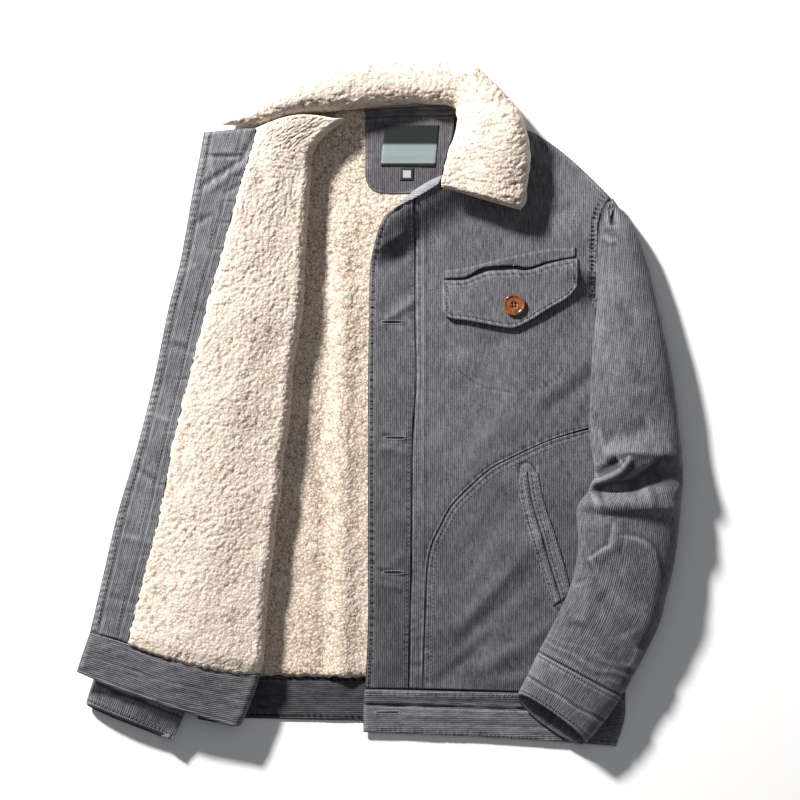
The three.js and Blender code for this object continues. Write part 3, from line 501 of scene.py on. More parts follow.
def creases(x, y, rows):
    """The height of soft creases at x, y, each fading out at its ends."""
    total = np.zeros(np.broadcast(x, y).shape)
    for x0, y0, x1, y1, width, height in zip(*rows.values()):
        dx = x1 - x0
        dy = y1 - y0
        length = math.hypot(dx, dy)
        along = ((x - x0) * dx + (y - y0) * dy) / length**2
        off = ((x - x0) * -dy + (y - y0) * dx) / length
        ends = ease((along + 0.15) / 0.3) * ease((1.15 - along) / 0.3)
        total = total + height * np.exp(-((off / width) ** 2)) * ends
    return total


def folds_on(x, y, folds):
    """The height of folds that run along smooth lines, each fading out at its ends."""
    total = np.zeros(np.broadcast(x, y).shape)
    for line, left, right, height in folds:
        line = np.asarray(line, float)
        knots = np.arange(len(line))
        at = np.linspace(0, knots[-1], 8 * len(line))
        line = np.stack([through(knots, line[:, k], at) for k in range(2)], -1)
        best = np.full(total.shape, 1e9)
        off = np.zeros(total.shape)
        for number, ((x0, y0), (x1, y1)) in enumerate(zip(line[:-1], line[1:])):
            dx = x1 - x0
            dy = y1 - y0
            share = ((x - x0) * dx + (y - y0) * dy) / (dx * dx + dy * dy)
            held = np.clip(share, 0, 1)
            away = np.hypot(x - x0 - held * dx, y - y0 - held * dy)
            turned = (y - y0) * dx - (x - x0) * dy
            closer = away < best
            best = np.where(closer, away, best)
            place = (number + held) / (len(line) - 1)
            off = np.where(closer, np.where(turned > 0, left, right), off)
            fade = ease(place / 0.16) * ease((1 - place) / 0.16)
            ends = np.where(closer, fade, ends) if number else fade + 0 * best
        total = total + height * np.exp(-((best / off) ** 2)) * ends
    return total


def beside(x, y, line):
    """The distance from x, y to a line of points, and how far along the line that is."""
    best = np.full(np.broadcast(x, y).shape, 1e9)
    where = np.zeros(best.shape)
    run = 0.0
    for (x0, y0), (x1, y1) in zip(line[:-1], line[1:]):
        dx = x1 - x0
        dy = y1 - y0
        length = max(math.hypot(dx, dy), 1e-6)
        along = np.clip(((x - x0) * dx + (y - y0) * dy) / length**2, 0, 1)
        away = np.hypot(x - x0 - along * dx, y - y0 - along * dy)
        closer = away < best
        best = np.where(closer, away, best)
        where = np.where(closer, run + along * length, where)
        run += length
    return best, where


def pucker(x, y, line, offset, deep=0.7, wave=8.0, seed=1):
    """The groove of a row of stitches at some distance from a line, with puckers across it."""
    away, along = beside(x, y, line)
    groove = np.exp(-(((away - offset) / 1.5) ** 2))
    phase = along / wave + 0.3 * noise(along, along * 0 + seed, wave * 3, seed)
    tick = np.exp(-((np.sin(np.pi * phase) / 0.6) ** 2))
    uneven = lerp(0.5, 1.2, 0.5 + 0.5 * noise(along, 0, 30, seed))
    reach = np.exp(-(((away - offset * 0.8) / 4.5) ** 4)) * uneven
    return -deep * groove - 0.9 * deep * tick * reach


def side_edge(y):
    return ARMHOLE_X + (SIDE_X - ARMHOLE_X) * ease((ARMHOLE_FOOT - y) / 50)


def front_low(x, y):
    """The underside of the closed front."""
    across = np.clip((x - FRONT_LEFT) / (SIDE_X - FRONT_LEFT), 0, 1)
    swell = FRONT_CROWN * np.sin(np.pi * across) * ease((y + 320) / 80)
    armhole = ease((y - ARMHOLE_FOOT) / 34)
    edge = lerp(LINING_LOW, HEM_REST, ease((-268 - y) / 28)) + ARMHOLE_RISE * armhole
    rolled = ease((side_edge(y) - x) / lerp(SIDE_ROLL, ARMHOLE_ROLL, armhole))
    level = lerp(edge, FRONT_REST + swell, rolled)
    hemmed = lerp(level, HEM_REST, ease((HEM_FALL_FROM - y) / HEM_FALL))
    shoulder = through(SHOULDER["x"], SHOULDER["y"], x) - y
    near, _ = beside(x, y, NECK_LINE)
    lift = NECK_LIFT * ease(1 - near / NECK_REACH)
    return lerp(LINING_LOW, hemmed + lift, ease(shoulder / 32))


def row_edge(rows, side, count=40, start=0.0, end=1.0):
    """The left or right edge of a panel as a line of points."""
    at = rows_at(rows, np.linspace(start, end, count))
    return list(zip(at[side + "x"], at[side + "y"]))


def section_edge(sections, name, count=40):
    x = np.linspace(sections["x"][0], sections["x"][-1], count)
    return list(zip(x, through(sections["x"], sections[name], x)))


PLACKET_SEAM = row_edge(PLACKET_ROWS, "r")
PLACKET_EDGE = row_edge(PLACKET_ROWS, "l")
POCKET_SEAM = row_edge(POCKET_PANEL_ROWS, "l")
ARMHOLE_SEAM = row_edge(FRONT_ROWS, "r", 40, 0.0, 7 / 19)
HAND_LINE = row_edge(HAND_LEFT_ROWS, "r")

# The curved edge of the pocket bag, which is sewn through the front
POCKET_BAG = table(
    "x y",
    (75.6, 84), (76.7, 57), (84, 38), (97, 26), (119, 16), (145, 12.4), (167, 15), (186, 24),
    (200, 38), (207, 55), (210, 104),
)
BAG_KNOTS = np.arange(len(POCKET_BAG["x"]))
BAG_AT = np.linspace(0, 1, 60) * BAG_KNOTS[-1]
BAG_LINE = list(zip(*(through(BAG_KNOTS, POCKET_BAG[name], BAG_AT).tolist() for name in "xy")))


def front_relief(x, y):
    """What the creases, puckers and soft waves add to the closed front."""
    inside = ease((side_edge(y) - x - 4) / 16)
    shoulder = ease((through(SHOULDER["x"], SHOULDER["y"], x) - y - 10) / 24)
    waves = 0.55 * noise(x, y, 46, 3) + 0.3 * noise(x, y, 17, 4) + 0.12 * noise(x, y, 6, 6)
    bent = creases(x, y, FRONT_CREASES)
    seams = pucker(x, y, PLACKET_SEAM, 5.0, 0.3, 9.0, 2) + pucker(x, y, POCKET_SEAM, 3.4, 0.5, 9.0, 3)
    seams = seams + pucker(x, y, HAND_LINE, 9.0, 0.7, 8.0, 5)
    ladder = pucker(x, y, ARMHOLE_SEAM, 6.5, 1.2, 5.8, 4)
    bag, _ = beside(x, y, BAG_LINE[12:48])
    seams = seams - 0.3 * np.exp(-((bag / 1.4) ** 2))
    placket_step = 0.7 * np.exp(-(((x - 46.5) / 2.6) ** 2)) * ease((205 - y) / 20) * ease((y + 300) / 12)
    return (waves + 1.25 * bent + seams + placket_step) * inside * shoulder + ladder * shoulder


def front_top(x, y):
    return front_low(x, y) + CLOTH + front_relief(x, y)


def placket_relief(x, y):
    """Soft creases across the placket, and the ridge where its seam allowance lies."""
    waves = 0.35 * noise(x, y, 30, 13) + 0.2 * noise(x, y, 11, 14)
    edge = pucker(x, y, PLACKET_EDGE, 4.0, 0.75, 8.6, 7) + pucker(x, y, PLACKET_SEAM, 3.4, 0.4, 8.0, 8)
    return waves + edge + creases(x, y, FRONT_CREASES) * 0.9


def placket_top(x, y):
    return front_low(x, y) + DOUBLE + placket_relief(x, y)


def under_left_sleeve(x, y):
    """What the left sleeve lies on: the front's side, then the floor beyond it."""
    level = np.minimum(y, ARMHOLE_FOOT)
    edge = side_edge(level)
    garment = front_low(np.minimum(x, edge), level) + DOUBLE + 2 * CLEAR
    return lerp(garment, SEAM, ease((x - edge - 4) / 16))


def under_right_sleeve(x, y):
    edge = lerp(-172, -201, ease((112 - y) / 30))
    return lerp(SEAM, FOLD_REST + CLEAR, ease((x - edge + 50) / 26))


def under_collar(x, y):
    inside = through(SHOULDER["x"], SHOULDER["y"], np.minimum(x, 250)) + COLLAR_STEP - y
    front = front_low(x, y) + CLOTH + 2 * CLEAR
    return lerp(0.0, front, ease(inside / COLLAR_STEP) * ease((x - 42) / 12))


def ridge(x, y):
    fade = ease((RIDGE_END - y) / 120)
    return RIDGE_HEIGHT * np.exp(-(((x - RIDGE_X) / RIDGE_WIDTH) ** 2)) * fade


def lining_top(x, y):
    return LINING_TOP + ridge(x, y)


def on_lining(x, y):
    return lining_top(x, y) + SEAM


def turned_point(rows, u, v, away, outside):
    """A point of the turned front: u is 0 to 1 on the hidden layer, to 2 round the fold,
    to 3 at the facing's seam and to 4 at the opening edge, and away is out of the fold."""
    row = {name: column[:, None] for name, column in rows_at(rows, v).items()}
    u = u[None, :]
    away = np.broadcast_to(away, np.broadcast_shapes(np.shape(away), (len(v), u.shape[1])))
    turn = row["fx"] + 2.2 * noise(row["fy"], 0 * row["fy"], 48, 118) - outside - FOLD_RADIUS
    upper = FOLD_REST + 2 * FOLD_RADIUS
    angle = (np.clip(u, 1, 2) - 1.5) * np.pi
    reach = FOLD_RADIUS + away
    knots = np.array([1.8, 2.0, 2.5, 3.0, 4.0])
    share = np.stack([through(knots, unit, np.clip(u[0], 1.8, 4)) for unit in np.eye(5)])
    level = share[0] * upper + share[1] * upper
    level = level + share[2] * row["zm"] + share[3] * row["zs"] + share[4] * row["ze"]
    hidden = (lerp(row["hx"], turn, u), lerp(row["hy"], row["fy"], u), FOLD_REST - away)
    fold = (turn + reach * np.cos(angle), row["fy"] + 0 * u, FOLD_REST + FOLD_RADIUS + reach * np.sin(angle))
    bow = row["bow"] * np.sin(np.pi * (u - 2))
    top = (lerp(turn, row["sx"], u - 2), lerp(row["fy"], row["sy"], u - 2) + bow, level + away)
    flap = (lerp(row["sx"], row["ex"], u - 3), lerp(row["sy"], row["ey"], u - 3), level + away)
    place = [np.where(u <= 1, a, np.where(u <= 2, b, np.where(u <= 3, c, d)))
             for a, b, c, d in zip(hidden, fold, top, flap)]
    return np.stack(place, axis=-1)


def stops(length, step, fine=True):
    """Places from 0 to 1 along a piece, closer together beside its edges so that they roll down."""
    count = max(2, int(round(length / step)))
    places = list(np.linspace(0, 1, count + 1))
    if fine:
        for near in (0.35, 0.9, 1.8):
            if near < 0.4 * length and near < 0.8 * step:
                places += [near / length, 1 - near / length]
    return np.unique(np.round(places, 7))


def grid_normals(points, wrapped=False):
    """The direction out of a grid of points at each point, for rows along v and columns along u."""
    if wrapped:
        across = np.roll(points, -1, axis=1) - np.roll(points, 1, axis=1)
    else:
        across = np.gradient(points, axis=1)
    along = np.gradient(points, axis=0)
    out = np.cross(across, along)
    return out / np.maximum(np.linalg.norm(out, axis=-1, keepdims=True), 1e-9)


def roll_down(distance, reach=EDGE_ROLL):
    """How far the top of a cloth edge drops, distance mm in from the edge."""
    inside = np.clip(1 - distance / (2.2 * reach), 0, 1)
    return reach * inside**2


def arc(points, axis):
    """The running length along a grid of points, from the first row or column."""
    steps = np.linalg.norm(np.diff(points, axis=axis), axis=-1)
    pad = [(0, 0), (0, 0)]
    pad[axis] = (1, 0)
    return np.pad(np.cumsum(steps, axis=axis), pad)


def cut_size(points):
    """The flat width, length and area of the cloth of a grid of points, in metres."""
    width = arc(points, 1)[:, -1].max() * MM
    length = arc(points, 0)[-1].max() * MM
    a = points[1:, 1:] - points[:-1, :-1]
    b = points[1:, :-1] - points[:-1, 1:]
    area = 0.5 * np.linalg.norm(np.cross(a, b), axis=-1).sum() * MM**2
    length = max(length, SHORTEST_SHEET)
    return (float(width), float(length)), float(min(area, width * length))


def make_object(name, points, faces, cloth=None, marks=None):
    """A closed mesh with its place in the mesh, its cloth directions and its marks."""
    points = (np.asarray(points) + SHIFT) * MM
    mesh = bpy.data.meshes.new(name)
    mesh.from_pydata(points.tolist(), [], faces)
    mesh.update()
    mesh.calc_loop_triangles()
    corners = np.empty(len(mesh.loop_triangles) * 3, np.int32)
    mesh.loop_triangles.foreach_get("vertices", corners)
    a, b, c = (points[corners[i::3]] for i in range(3))
    volume = np.einsum("ij,ij->i", a, np.cross(b, c)).sum()
    if volume < 0:
        mesh.flip_normals()
    mesh.polygons.foreach_set("use_smooth", np.ones(len(mesh.polygons), bool))
    if cloth is not None:
        layer = mesh.uv_layers.new(name="cloth")
        index = np.empty(len(mesh.loops), np.int32)
        mesh.loops.foreach_get("vertex_index", index)
        layer.data.foreach_set("uv", (np.asarray(cloth) * MM)[index].astype(np.float32).ravel())
    for mark, values in (marks or {}).items():
        data = mesh.attributes.new(mark, "FLOAT", "POINT").data
        data.foreach_set("value", np.asarray(values, np.float32).ravel())
    piece = bpy.data.objects.new(name, mesh)
    bpy.context.scene.collection.objects.link(piece)
    return piece


def border(rows, columns):
    """The outline of a grid, once round."""
    top = [(0, j) for j in range(columns)]
    right = [(i, columns - 1) for i in range(1, rows)]
    foot = [(rows - 1, j) for j in range(columns - 2, -1, -1)]
    left = [(i, 0) for i in range(rows - 2, 0, -1)]
    return top + right + foot + left


def wall(name, over, under, cloth, marks, step=6):
    """A closed sheet between two grids of points; the under side is given larger faces."""
    rows, columns = over.shape[:2]
    index = np.arange(rows * columns).reshape(rows, columns)
    faces = np.stack([index[:-1, :-1], index[:-1, 1:], index[1:, 1:], index[1:, :-1]], -1)
    faces = faces.reshape(-1, 4).tolist()
    down = sorted({*range(0, rows, step), rows - 1})
    right = sorted({*range(0, columns, step), columns - 1})
    kept = np.zeros((rows, columns), bool)
    kept[np.ix_(down, right)] = True
    kept[[0, -1], :] = True
    kept[:, [0, -1]] = True
    below = np.full((rows, columns), -1)
    below[kept] = rows * columns + np.arange(kept.sum())
    for a, b in zip(down[:-1], down[1:]):
        for c, d in zip(right[:-1], right[1:]):
            first = [(a, j) for j in (range(c, d) if a == 0 else (c,))]
            second = [(i, d) for i in (range(a, b) if d == columns - 1 else (a,))]
            third = [(b, j) for j in (range(d, c, -1) if b == rows - 1 else (d,))]
            fourth = [(i, c) for i in (range(b, a, -1) if c == 0 else (b,))]
            around = first + second + third + fourth
            faces.append([int(below[p]) for p in reversed(around)])
    loop = border(rows, columns)
    for p, q in zip(loop, loop[1:] + loop[:1]):
        faces.append([int(index[q]), int(index[p]), int(below[p]), int(below[q])])
    points = np.concatenate([over.reshape(-1, 3), under[kept]])
    cloth = np.concatenate([cloth.reshape(-1, 2), cloth[kept]])
    marks = {mark: np.concatenate([v.ravel(), v[kept]]) for mark, v in marks.items()}
    return make_object(name, points, faces, cloth, marks)


def tube(name, outer, inner, cloth, marks):
    """A closed tube wall between two rings of points, open at both ends as a sleeve is."""
    rows, columns = outer.shape[:2]
    index = np.arange(rows * columns).reshape(rows, columns)
    index = np.concatenate([index, index[:, :1]], axis=1)
    quads = np.stack([index[:-1, :-1], index[:-1, 1:], index[1:, 1:], index[1:, :-1]], -1).reshape(-1, 4)
    faces = quads.tolist() + (quads[:, ::-1] + rows * columns).tolist()
    for end, order in ((0, -1), (rows - 1, 1)):
        for p, q in zip(index[end, :-1], index[end, 1:]):
            face = [int(p), int(q), int(q) + rows * columns, int(p) + rows * columns]
            faces.append(face[::-1] if order < 0 else face)
    points = np.concatenate([outer.reshape(-1, 3), inner.reshape(-1, 3)])
    cloth = np.concatenate([cloth.reshape(-1, 2)] * 2)
    marks = {mark: np.concatenate([v.ravel()] * 2) for mark, v in marks.items()}
    return make_object(name, points, faces, cloth, marks)


def roll(name, rings, marks):
    """A closed soft roll through rings of points, with a point at the middle of each end."""
    rows, columns = rings.shape[:2]
    index = np.arange(rows * columns).reshape(rows, columns)
    index = np.concatenate([index, index[:, :1]], axis=1)
    quads = np.stack([index[:-1, :-1], index[:-1, 1:], index[1:, 1:], index[1:, :-1]], -1).reshape(-1, 4)
    faces = quads.tolist()
    start = rows * columns
    for p, q in zip(index[0, :-1], index[0, 1:]):
        faces.append([int(q), int(p), start])
    for p, q in zip(index[-1, :-1], index[-1, 1:]):
        faces.append([int(p), int(q), start + 1])
    ends = np.stack([rings[0].mean(axis=0), rings[-1].mean(axis=0)])
    points = np.concatenate([rings.reshape(-1, 3), ends])
    marks = {mark: np.concatenate([v.ravel(), [v[0].mean(), v[-1].mean()]]) for mark, v in marks.items()}
    return make_object(name, points, faces, None, marks)


def finish_piece(piece, material, slot, nodes=()):
    piece.data.materials.append(bpy.data.materials[material])
    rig.ride(piece, "root")
    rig.slot(piece, slot)
    if nodes:
        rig.replaces(piece, *nodes)
    return piece


def panel_plan(rows, step_across, step_along, fine=True):
    """The plan of a panel as grids of x and y, with the distance to its nearest edge."""
    middle = rows_at(rows, np.linspace(0, 1, 40))
    width = np.hypot(middle["rx"] - middle["lx"], middle["ry"] - middle["ly"]).max()
    lx, ly, rx, ry = (middle[n] for n in ("lx", "ly", "rx", "ry"))
    length = max(
        np.hypot(np.diff(lx), np.diff(ly)).sum(),
        np.hypot(np.diff(rx), np.diff(ry)).sum(),
    )
    u = stops(width, step_across, fine)
    v = stops(length, step_along, fine)
    row = {name: column[:, None] for name, column in rows_at(rows, v).items()}
    x = lerp(row["lx"], row["rx"], u[None, :])
    y = lerp(row["ly"], row["ry"], u[None, :]) + row["bow"] * np.sin(np.pi * u[None, :])
    flat = np.stack([x, y, 0 * x], -1)
    across = arc(flat, 1)
    along = arc(flat, 0)
    inside = np.minimum(across, across[:, -1:] - across)
    inside = np.minimum(inside, np.minimum(along, along[-1:] - along))
    return x, y, inside


def strip_plan(sections, step_across, step_along):
    x = np.linspace(sections["x"][0], sections["x"][-1], int(np.ptp(sections["x"]) / step_across))
    top = through(sections["x"], sections["top"], x)
    bottom = through(sections["x"], sections["bottom"], x)
    v = stops((top - bottom).max(), step_along)[:, None]
    y = lerp(top[None, :], bottom[None, :], v)
    x = x[None, :] + 0 * y
    flat = np.stack([x, y, 0 * x], -1)
    along = arc(flat, 0)
    inside = np.minimum(along, along[-1:] - along)
    inside = np.minimum(inside, np.minimum(x - x.min(), x.max() - x))
    return x, y, v + 0 * x, inside


def worn_edge(inside, x, y, strength=1.0):
    """How pale the cloth has worn: most at an edge, and in patches."""
    patches = 0.5 + 0.5 * noise(x, y, 9, 41)
    near = 0.5 * np.exp(-(((inside - 2.2) / 1.8) ** 2)) * lerp(0.2, 1.0, patches)
    return np.clip(strength * near + 0.18 * np.clip(noise(x, y, 28, 42), 0, 1), 0, 1)


def painted_edge_shade(inside):
    """How dark the painted shade is down in a seam, at the cloth's very edge."""
    return 0.5 * np.exp(-((inside / 0.95) ** 2))


def hollow(relief):
    """How far each point lies below its neighbours on the grid, in mm."""
    bend = np.zeros(relief.shape)
    bend[:, 1:-1] += relief[:, 2:] + relief[:, :-2] - 2 * relief[:, 1:-1]
    bend[1:-1] += relief[2:] + relief[:-2] - 2 * relief[1:-1]
    return bend


def lay_panel(
    name, x, y, inside, low, thickness, relief, direction="up", strength=1.0, turned=0.0, shade=0.0,
):
    """A corduroy sheet over the plan x, y, with its wales up the garment or along a band."""
    under = low(x, y)
    over = under + thickness + relief - roll_down(inside, min(EDGE_ROLL, 0.7 * thickness))
    over = np.maximum(over, under + 0.25)
    top = np.stack([x, y, over], -1)
    foot = np.stack([x, y, under + 0 * x], -1)
    cloth = np.stack([x, y], -1) if direction == "up" else np.stack([y, x], -1)
    if turned:
        cloth = np.stack([
            x * math.cos(turned) + y * math.sin(turned),
            y * math.cos(turned) - x * math.sin(turned),
        ], -1)
    bend = hollow(relief)
    # The worn mark is also raised on the ridges of the relief, so they are paler.
    worn = worn_edge(inside, x, y, strength) + np.clip(-bend * 0.45, 0, 0.3)
    # Painted shade: the seam mark darkens the cloth at its edges and in the hollows of its relief, plus the shade
    # given.
    dark = np.maximum(painted_edge_shade(inside), np.clip(bend * 0.5, 0, 0.55)) + shade
    marks = {"worn": np.clip(worn, 0, 1), "seam": dark}
    piece = wall(name, top, foot, cloth, marks)
    flat, area = cut_size(np.stack([x, y, under + 0 * x], -1))
    return piece, flat, area


def tone(colour):
    """A colour picked in sRGB, 0 to 255, as the linear values that a shader takes."""
    parts = [c / 255 for c in colour]
    return [c / 12.92 if c <= 0.04045 else ((c + 0.055) / 1.055) ** 2.4 for c in parts] + [1.0]


# Colours of the cloth, of the painted shade in its seams and hollows, and of the pile with the painted shade between
# its curls, in sRGB
PAINTED_SHADE_DARK = (18, 18, 20)
CORD_DARK = (44, 44, 47)
CORD_LIGHT = (127, 127, 132)
CORD_WORN = (166, 166, 170)
PILE_SHADOW = (140, 121, 102)
PILE_HALF_SHADE = (196, 179, 161)
PILE_TOP = (229, 215, 201)


class ShaderTree:
    """Adds nodes to a material or node group from left to right."""

    def __init__(self, tree):
        self.tree = tree

    def add(self, kind, settings=None, **inputs):
        made = self.tree.nodes.new(kind)
        for name, value in (settings or {}).items():
            setattr(made, name, value)
        for name, value in inputs.items():
            key = int(name[1:]) if name[0] == "i" and name[1:].isdigit() else name.replace("_", " ")
            socket = made.inputs[key]
            if isinstance(value, bpy.types.NodeSocket):
                self.tree.links.new(value, socket)
            else:
                socket.default_value = value
        return made

    def sum(self, operation, a, b, clamp=False):
        made = self.add("ShaderNodeMath", {"operation": operation, "use_clamp": clamp}, i0=a, i1=b)
        return made.outputs[0]

    def mix(self, amount, a, b):
        made = self.add("ShaderNodeMix", {"data_type": "RGBA"})
        for key, value in ((0, amount), (6, a), (7, b)):
            if isinstance(value, bpy.types.NodeSocket):
                self.tree.links.new(value, made.inputs[key])
            else:
                made.inputs[key].default_value = value
        return made.outputs[2]


def make_group(name, inputs, outputs):
    """An empty node group with its sockets, and the nodes for its two sides."""
    group = bpy.data.node_groups.new(name, "ShaderNodeTree")
    for socket, kind, value in inputs:
        made = group.interface.new_socket(socket, in_out="INPUT", socket_type=kind)
        made.default_value = value
    for socket, kind in outputs:
        group.interface.new_socket(socket, in_out="OUTPUT", socket_type=kind)
    tree = ShaderTree(group)
    return group, tree, tree.add("NodeGroupInput"), tree.add("NodeGroupOutput")


def corduroy_group(pitch):
    """Wales along the cloth's length, heathered, paler where the cloth is worn, and darkened by painted shade where
    the seam mark is set.
    """
    colour = "NodeSocketColor"
    group, tree, given, out = make_group(
        "Corduroy cloth",
        [
            ("Dark", colour, tone(CORD_DARK)),
            ("Light", colour, tone(CORD_LIGHT)),
            ("Worn", colour, tone(CORD_WORN)),
        ],
        [("Color", colour), ("Height", "NodeSocketFloat")],
    )
    cloth = tree.add("ShaderNodeUVMap", {"uv_map": "cloth"}).outputs[0]
    place = tree.add("ShaderNodeTexCoord").outputs["Object"]
    sway = tree.add("ShaderNodeTexNoise", {"noise_dimensions": "3D"}, Vector=cloth, Scale=55.0, Detail=1.0)
    split = tree.add("ShaderNodeSeparateXYZ", Vector=cloth)
    drift = tree.sum("MULTIPLY", sway.outputs[0], 0.0009)
    across = tree.sum("ADD", split.outputs[0], drift)
    turns = tree.sum("MULTIPLY", across, 2 * math.pi / (pitch * MM))
    wave = tree.sum("SINE", turns, 0.0)
    wale = tree.sum("MULTIPLY_ADD", wave, 0.5)
    wale.node.inputs[2].default_value = 0.5
    streak_place = tree.add("ShaderNodeMapping", Vector=cloth, Scale=(1.0, 0.16, 1.0))
    streak = tree.add(
        "ShaderNodeTexNoise", Vector=streak_place.outputs[0], Scale=420.0, Detail=3.0, Roughness=0.7,
    )
    heather = tree.add("ShaderNodeTexNoise", Vector=place, Scale=900.0, Detail=2.0, Roughness=0.7)
    patch = tree.add("ShaderNodeTexNoise", Vector=place, Scale=24.0, Detail=3.0, Roughness=0.6)
    worn = tree.add("ShaderNodeAttribute", {"attribute_name": "worn"}).outputs["Fac"]
    uneven = tree.add("ShaderNodeMapRange", Value=streak.outputs[0], i1=0.34, i2=0.66, i3=-0.24, i4=0.24)
    fleck = tree.add("ShaderNodeMapRange", Value=heather.outputs[0], i1=0.3, i2=0.7, i3=-0.26, i4=0.26)
    broad = tree.add("ShaderNodeMapRange", Value=patch.outputs[0], i1=0.3, i2=0.7, i3=-0.1, i4=0.1)
    level = tree.sum("MULTIPLY_ADD", wale, 0.4)
    level.node.inputs[2].default_value = 0.29
    level = tree.sum("ADD", level, uneven.outputs[0])
    level = tree.sum("ADD", level, fleck.outputs[0])
    level = tree.sum("ADD", level, broad.outputs[0], clamp=True)
    base = tree.mix(level, given.outputs["Dark"], given.outputs["Light"])
    rub = tree.sum("MULTIPLY", worn, tree.sum("ADD", level, 0.25, clamp=True), clamp=True)
    tinted = tree.mix(rub, base, given.outputs["Worn"])
    # Painted shade: the seam mark mixes the cloth towards near black.
    seam = tree.add("ShaderNodeAttribute", {"attribute_name": "seam"}).outputs["Fac"]
    tinted = tree.mix(seam, tinted, tone(PAINTED_SHADE_DARK))
    tree.tree.links.new(tinted, out.inputs["Color"])
    fuzz = tree.sum("MULTIPLY", fleck.outputs[0], 0.5)
    height = tree.sum("ADD", wale, fuzz)
    height = tree.sum("ADD", height, tree.sum("MULTIPLY", uneven.outputs[0], 0.6))
    tree.tree.links.new(height, out.inputs["Height"])
    return group


def new_material(name):
    material = bpy.data.materials.new(name)
    material.use_nodes = True
    material.node_tree.nodes.clear()
    tree = ShaderTree(material.node_tree)
    shader = tree.add("ShaderNodeBsdfPrincipled")
    output = tree.add("ShaderNodeOutputMaterial")
    tree.tree.links.new(shader.outputs[0], output.inputs[0])
    return material, tree, shader


def corduroy_material(name, group, dark=None, light=None):
    material, tree, shader = new_material(name)
    cloth = tree.add("ShaderNodeGroup", {"node_tree": group})
    if dark:
        cloth.inputs["Dark"].default_value = tone(dark)
        cloth.inputs["Light"].default_value = tone(light)
    bump = tree.add("ShaderNodeBump", Strength=0.6, Distance=0.0006, Height=cloth.outputs["Height"])
    tree.tree.links.new(cloth.outputs["Color"], shader.inputs["Base Color"])
    tree.tree.links.new(bump.outputs[0], shader.inputs["Normal"])
    shader.inputs["Roughness"].default_value = 0.95
    shader.inputs["Specular IOR Level"].default_value = 0.2
    shader.inputs["Sheen Weight"].default_value = 0.12
    shader.inputs["Sheen Roughness"].default_value = 0.5
    return material


def sherpa_material():
    """Cream curls, with painted shade that is darker and browner down between them."""
    material, tree, shader = new_material("sherpa pile")
    place = tree.add("ShaderNodeTexCoord").outputs["Object"]
    depth = tree.add("ShaderNodeAttribute", {"attribute_name": "depth"}).outputs["Fac"]
    warp = tree.add("ShaderNodeTexNoise", Vector=place, Scale=120.0, Detail=1.0)
    warped = tree.add("ShaderNodeVectorMath", {"operation": "MULTIPLY_ADD"}, i0=warp.outputs["Color"])
    warped.inputs[1].default_value = (0.005, 0.005, 0.005)
    tree.tree.links.new(place, warped.inputs[2])
    curl = tree.add("ShaderNodeTexVoronoi", {"feature": "F1"}, Vector=warped.outputs[0], Scale=250.0)
    crack = tree.add(
        "ShaderNodeTexVoronoi", {"feature": "DISTANCE_TO_EDGE"}, Vector=warped.outputs[0], Scale=250.0,
    )
    small = tree.add("ShaderNodeTexVoronoi", {"feature": "F1"}, Vector=warped.outputs[0], Scale=520.0)
    fine = tree.add("ShaderNodeTexNoise", Vector=place, Scale=1100.0, Detail=3.0, Roughness=0.7)
    patch = tree.add("ShaderNodeTexNoise", Vector=place, Scale=30.0, Detail=2.0)
    # Painted shade: darker at the edges of the curls and away from the middles of the small ones.
    gap = tree.add("ShaderNodeMapRange", Value=crack.outputs["Distance"], i1=0.0, i2=0.16, i3=-0.34, i4=0.12)
    crumb = tree.add("ShaderNodeMapRange", Value=small.outputs["Distance"], i1=0.1, i2=0.8, i3=0.08, i4=-0.12)
    fleck = tree.add("ShaderNodeMapRange", Value=fine.outputs[0], i1=0.3, i2=0.7, i3=-0.05, i4=0.05)
    warm = tree.add("ShaderNodeMapRange", Value=patch.outputs[0], i1=0.3, i2=0.7, i3=-0.06, i4=0.06)
    # The depth mark paints shade low between the tufts.
    level = tree.sum("MULTIPLY_ADD", depth, 0.62)
    level.node.inputs[2].default_value = 0.27
    level = tree.sum("ADD", level, gap.outputs[0])
    level = tree.sum("ADD", level, crumb.outputs[0])
    level = tree.sum("ADD", level, fleck.outputs[0])
    level = tree.sum("ADD", level, warm.outputs[0], clamp=True)
    ramp = tree.add("ShaderNodeValToRGB", Fac=level)
    stops_of = ramp.color_ramp.elements
    stops_of[0].position = 0.0
    stops_of[0].color = tone(PILE_SHADOW)
    stops_of[1].position = 0.7
    stops_of[1].color = tone(PILE_TOP)
    middle = stops_of.new(0.3)
    middle.color = tone(PILE_HALF_SHADE)
    height = tree.sum("MULTIPLY_ADD", curl.outputs["Distance"], -1.0)
    tree.tree.links.new(tree.sum("MULTIPLY", small.outputs["Distance"], -0.3), height.node.inputs[2])
    bump = tree.add("ShaderNodeBump", Strength=0.5, Distance=0.0016, Height=height)
    tree.tree.links.new(ramp.outputs[0], shader.inputs["Base Color"])
    tree.tree.links.new(bump.outputs[0], shader.inputs["Normal"])
    shader.inputs["Roughness"].default_value = 0.97
    shader.inputs["Specular IOR Level"].default_value = 0.15
    shader.inputs["Sheen Weight"].default_value = 0.06
    shader.inputs["Sheen Roughness"].default_value = 0.6
    shader.inputs["Subsurface Weight"].default_value = 0.04
    shader.inputs["Subsurface Scale"].default_value = 0.004
    return material


def plain_material(name, colour, roughness, sheen=0.0):
    material, tree, shader = new_material(name)
    place = tree.add("ShaderNodeTexCoord").outputs["Object"]
    weave = tree.add("ShaderNodeTexNoise", Vector=place, Scale=1500.0, Detail=2.0)
    bump = tree.add("ShaderNodeBump", Strength=0.3, Distance=0.0003, Height=weave.outputs[0])
    tree.tree.links.new(bump.outputs[0], shader.inputs["Normal"])
    shader.inputs["Base Color"].default_value = tone(colour)
    shader.inputs["Roughness"].default_value = roughness
    shader.inputs["Specular IOR Level"].default_value = 0.08
    shader.inputs["Sheen Weight"].default_value = sheen
    return material


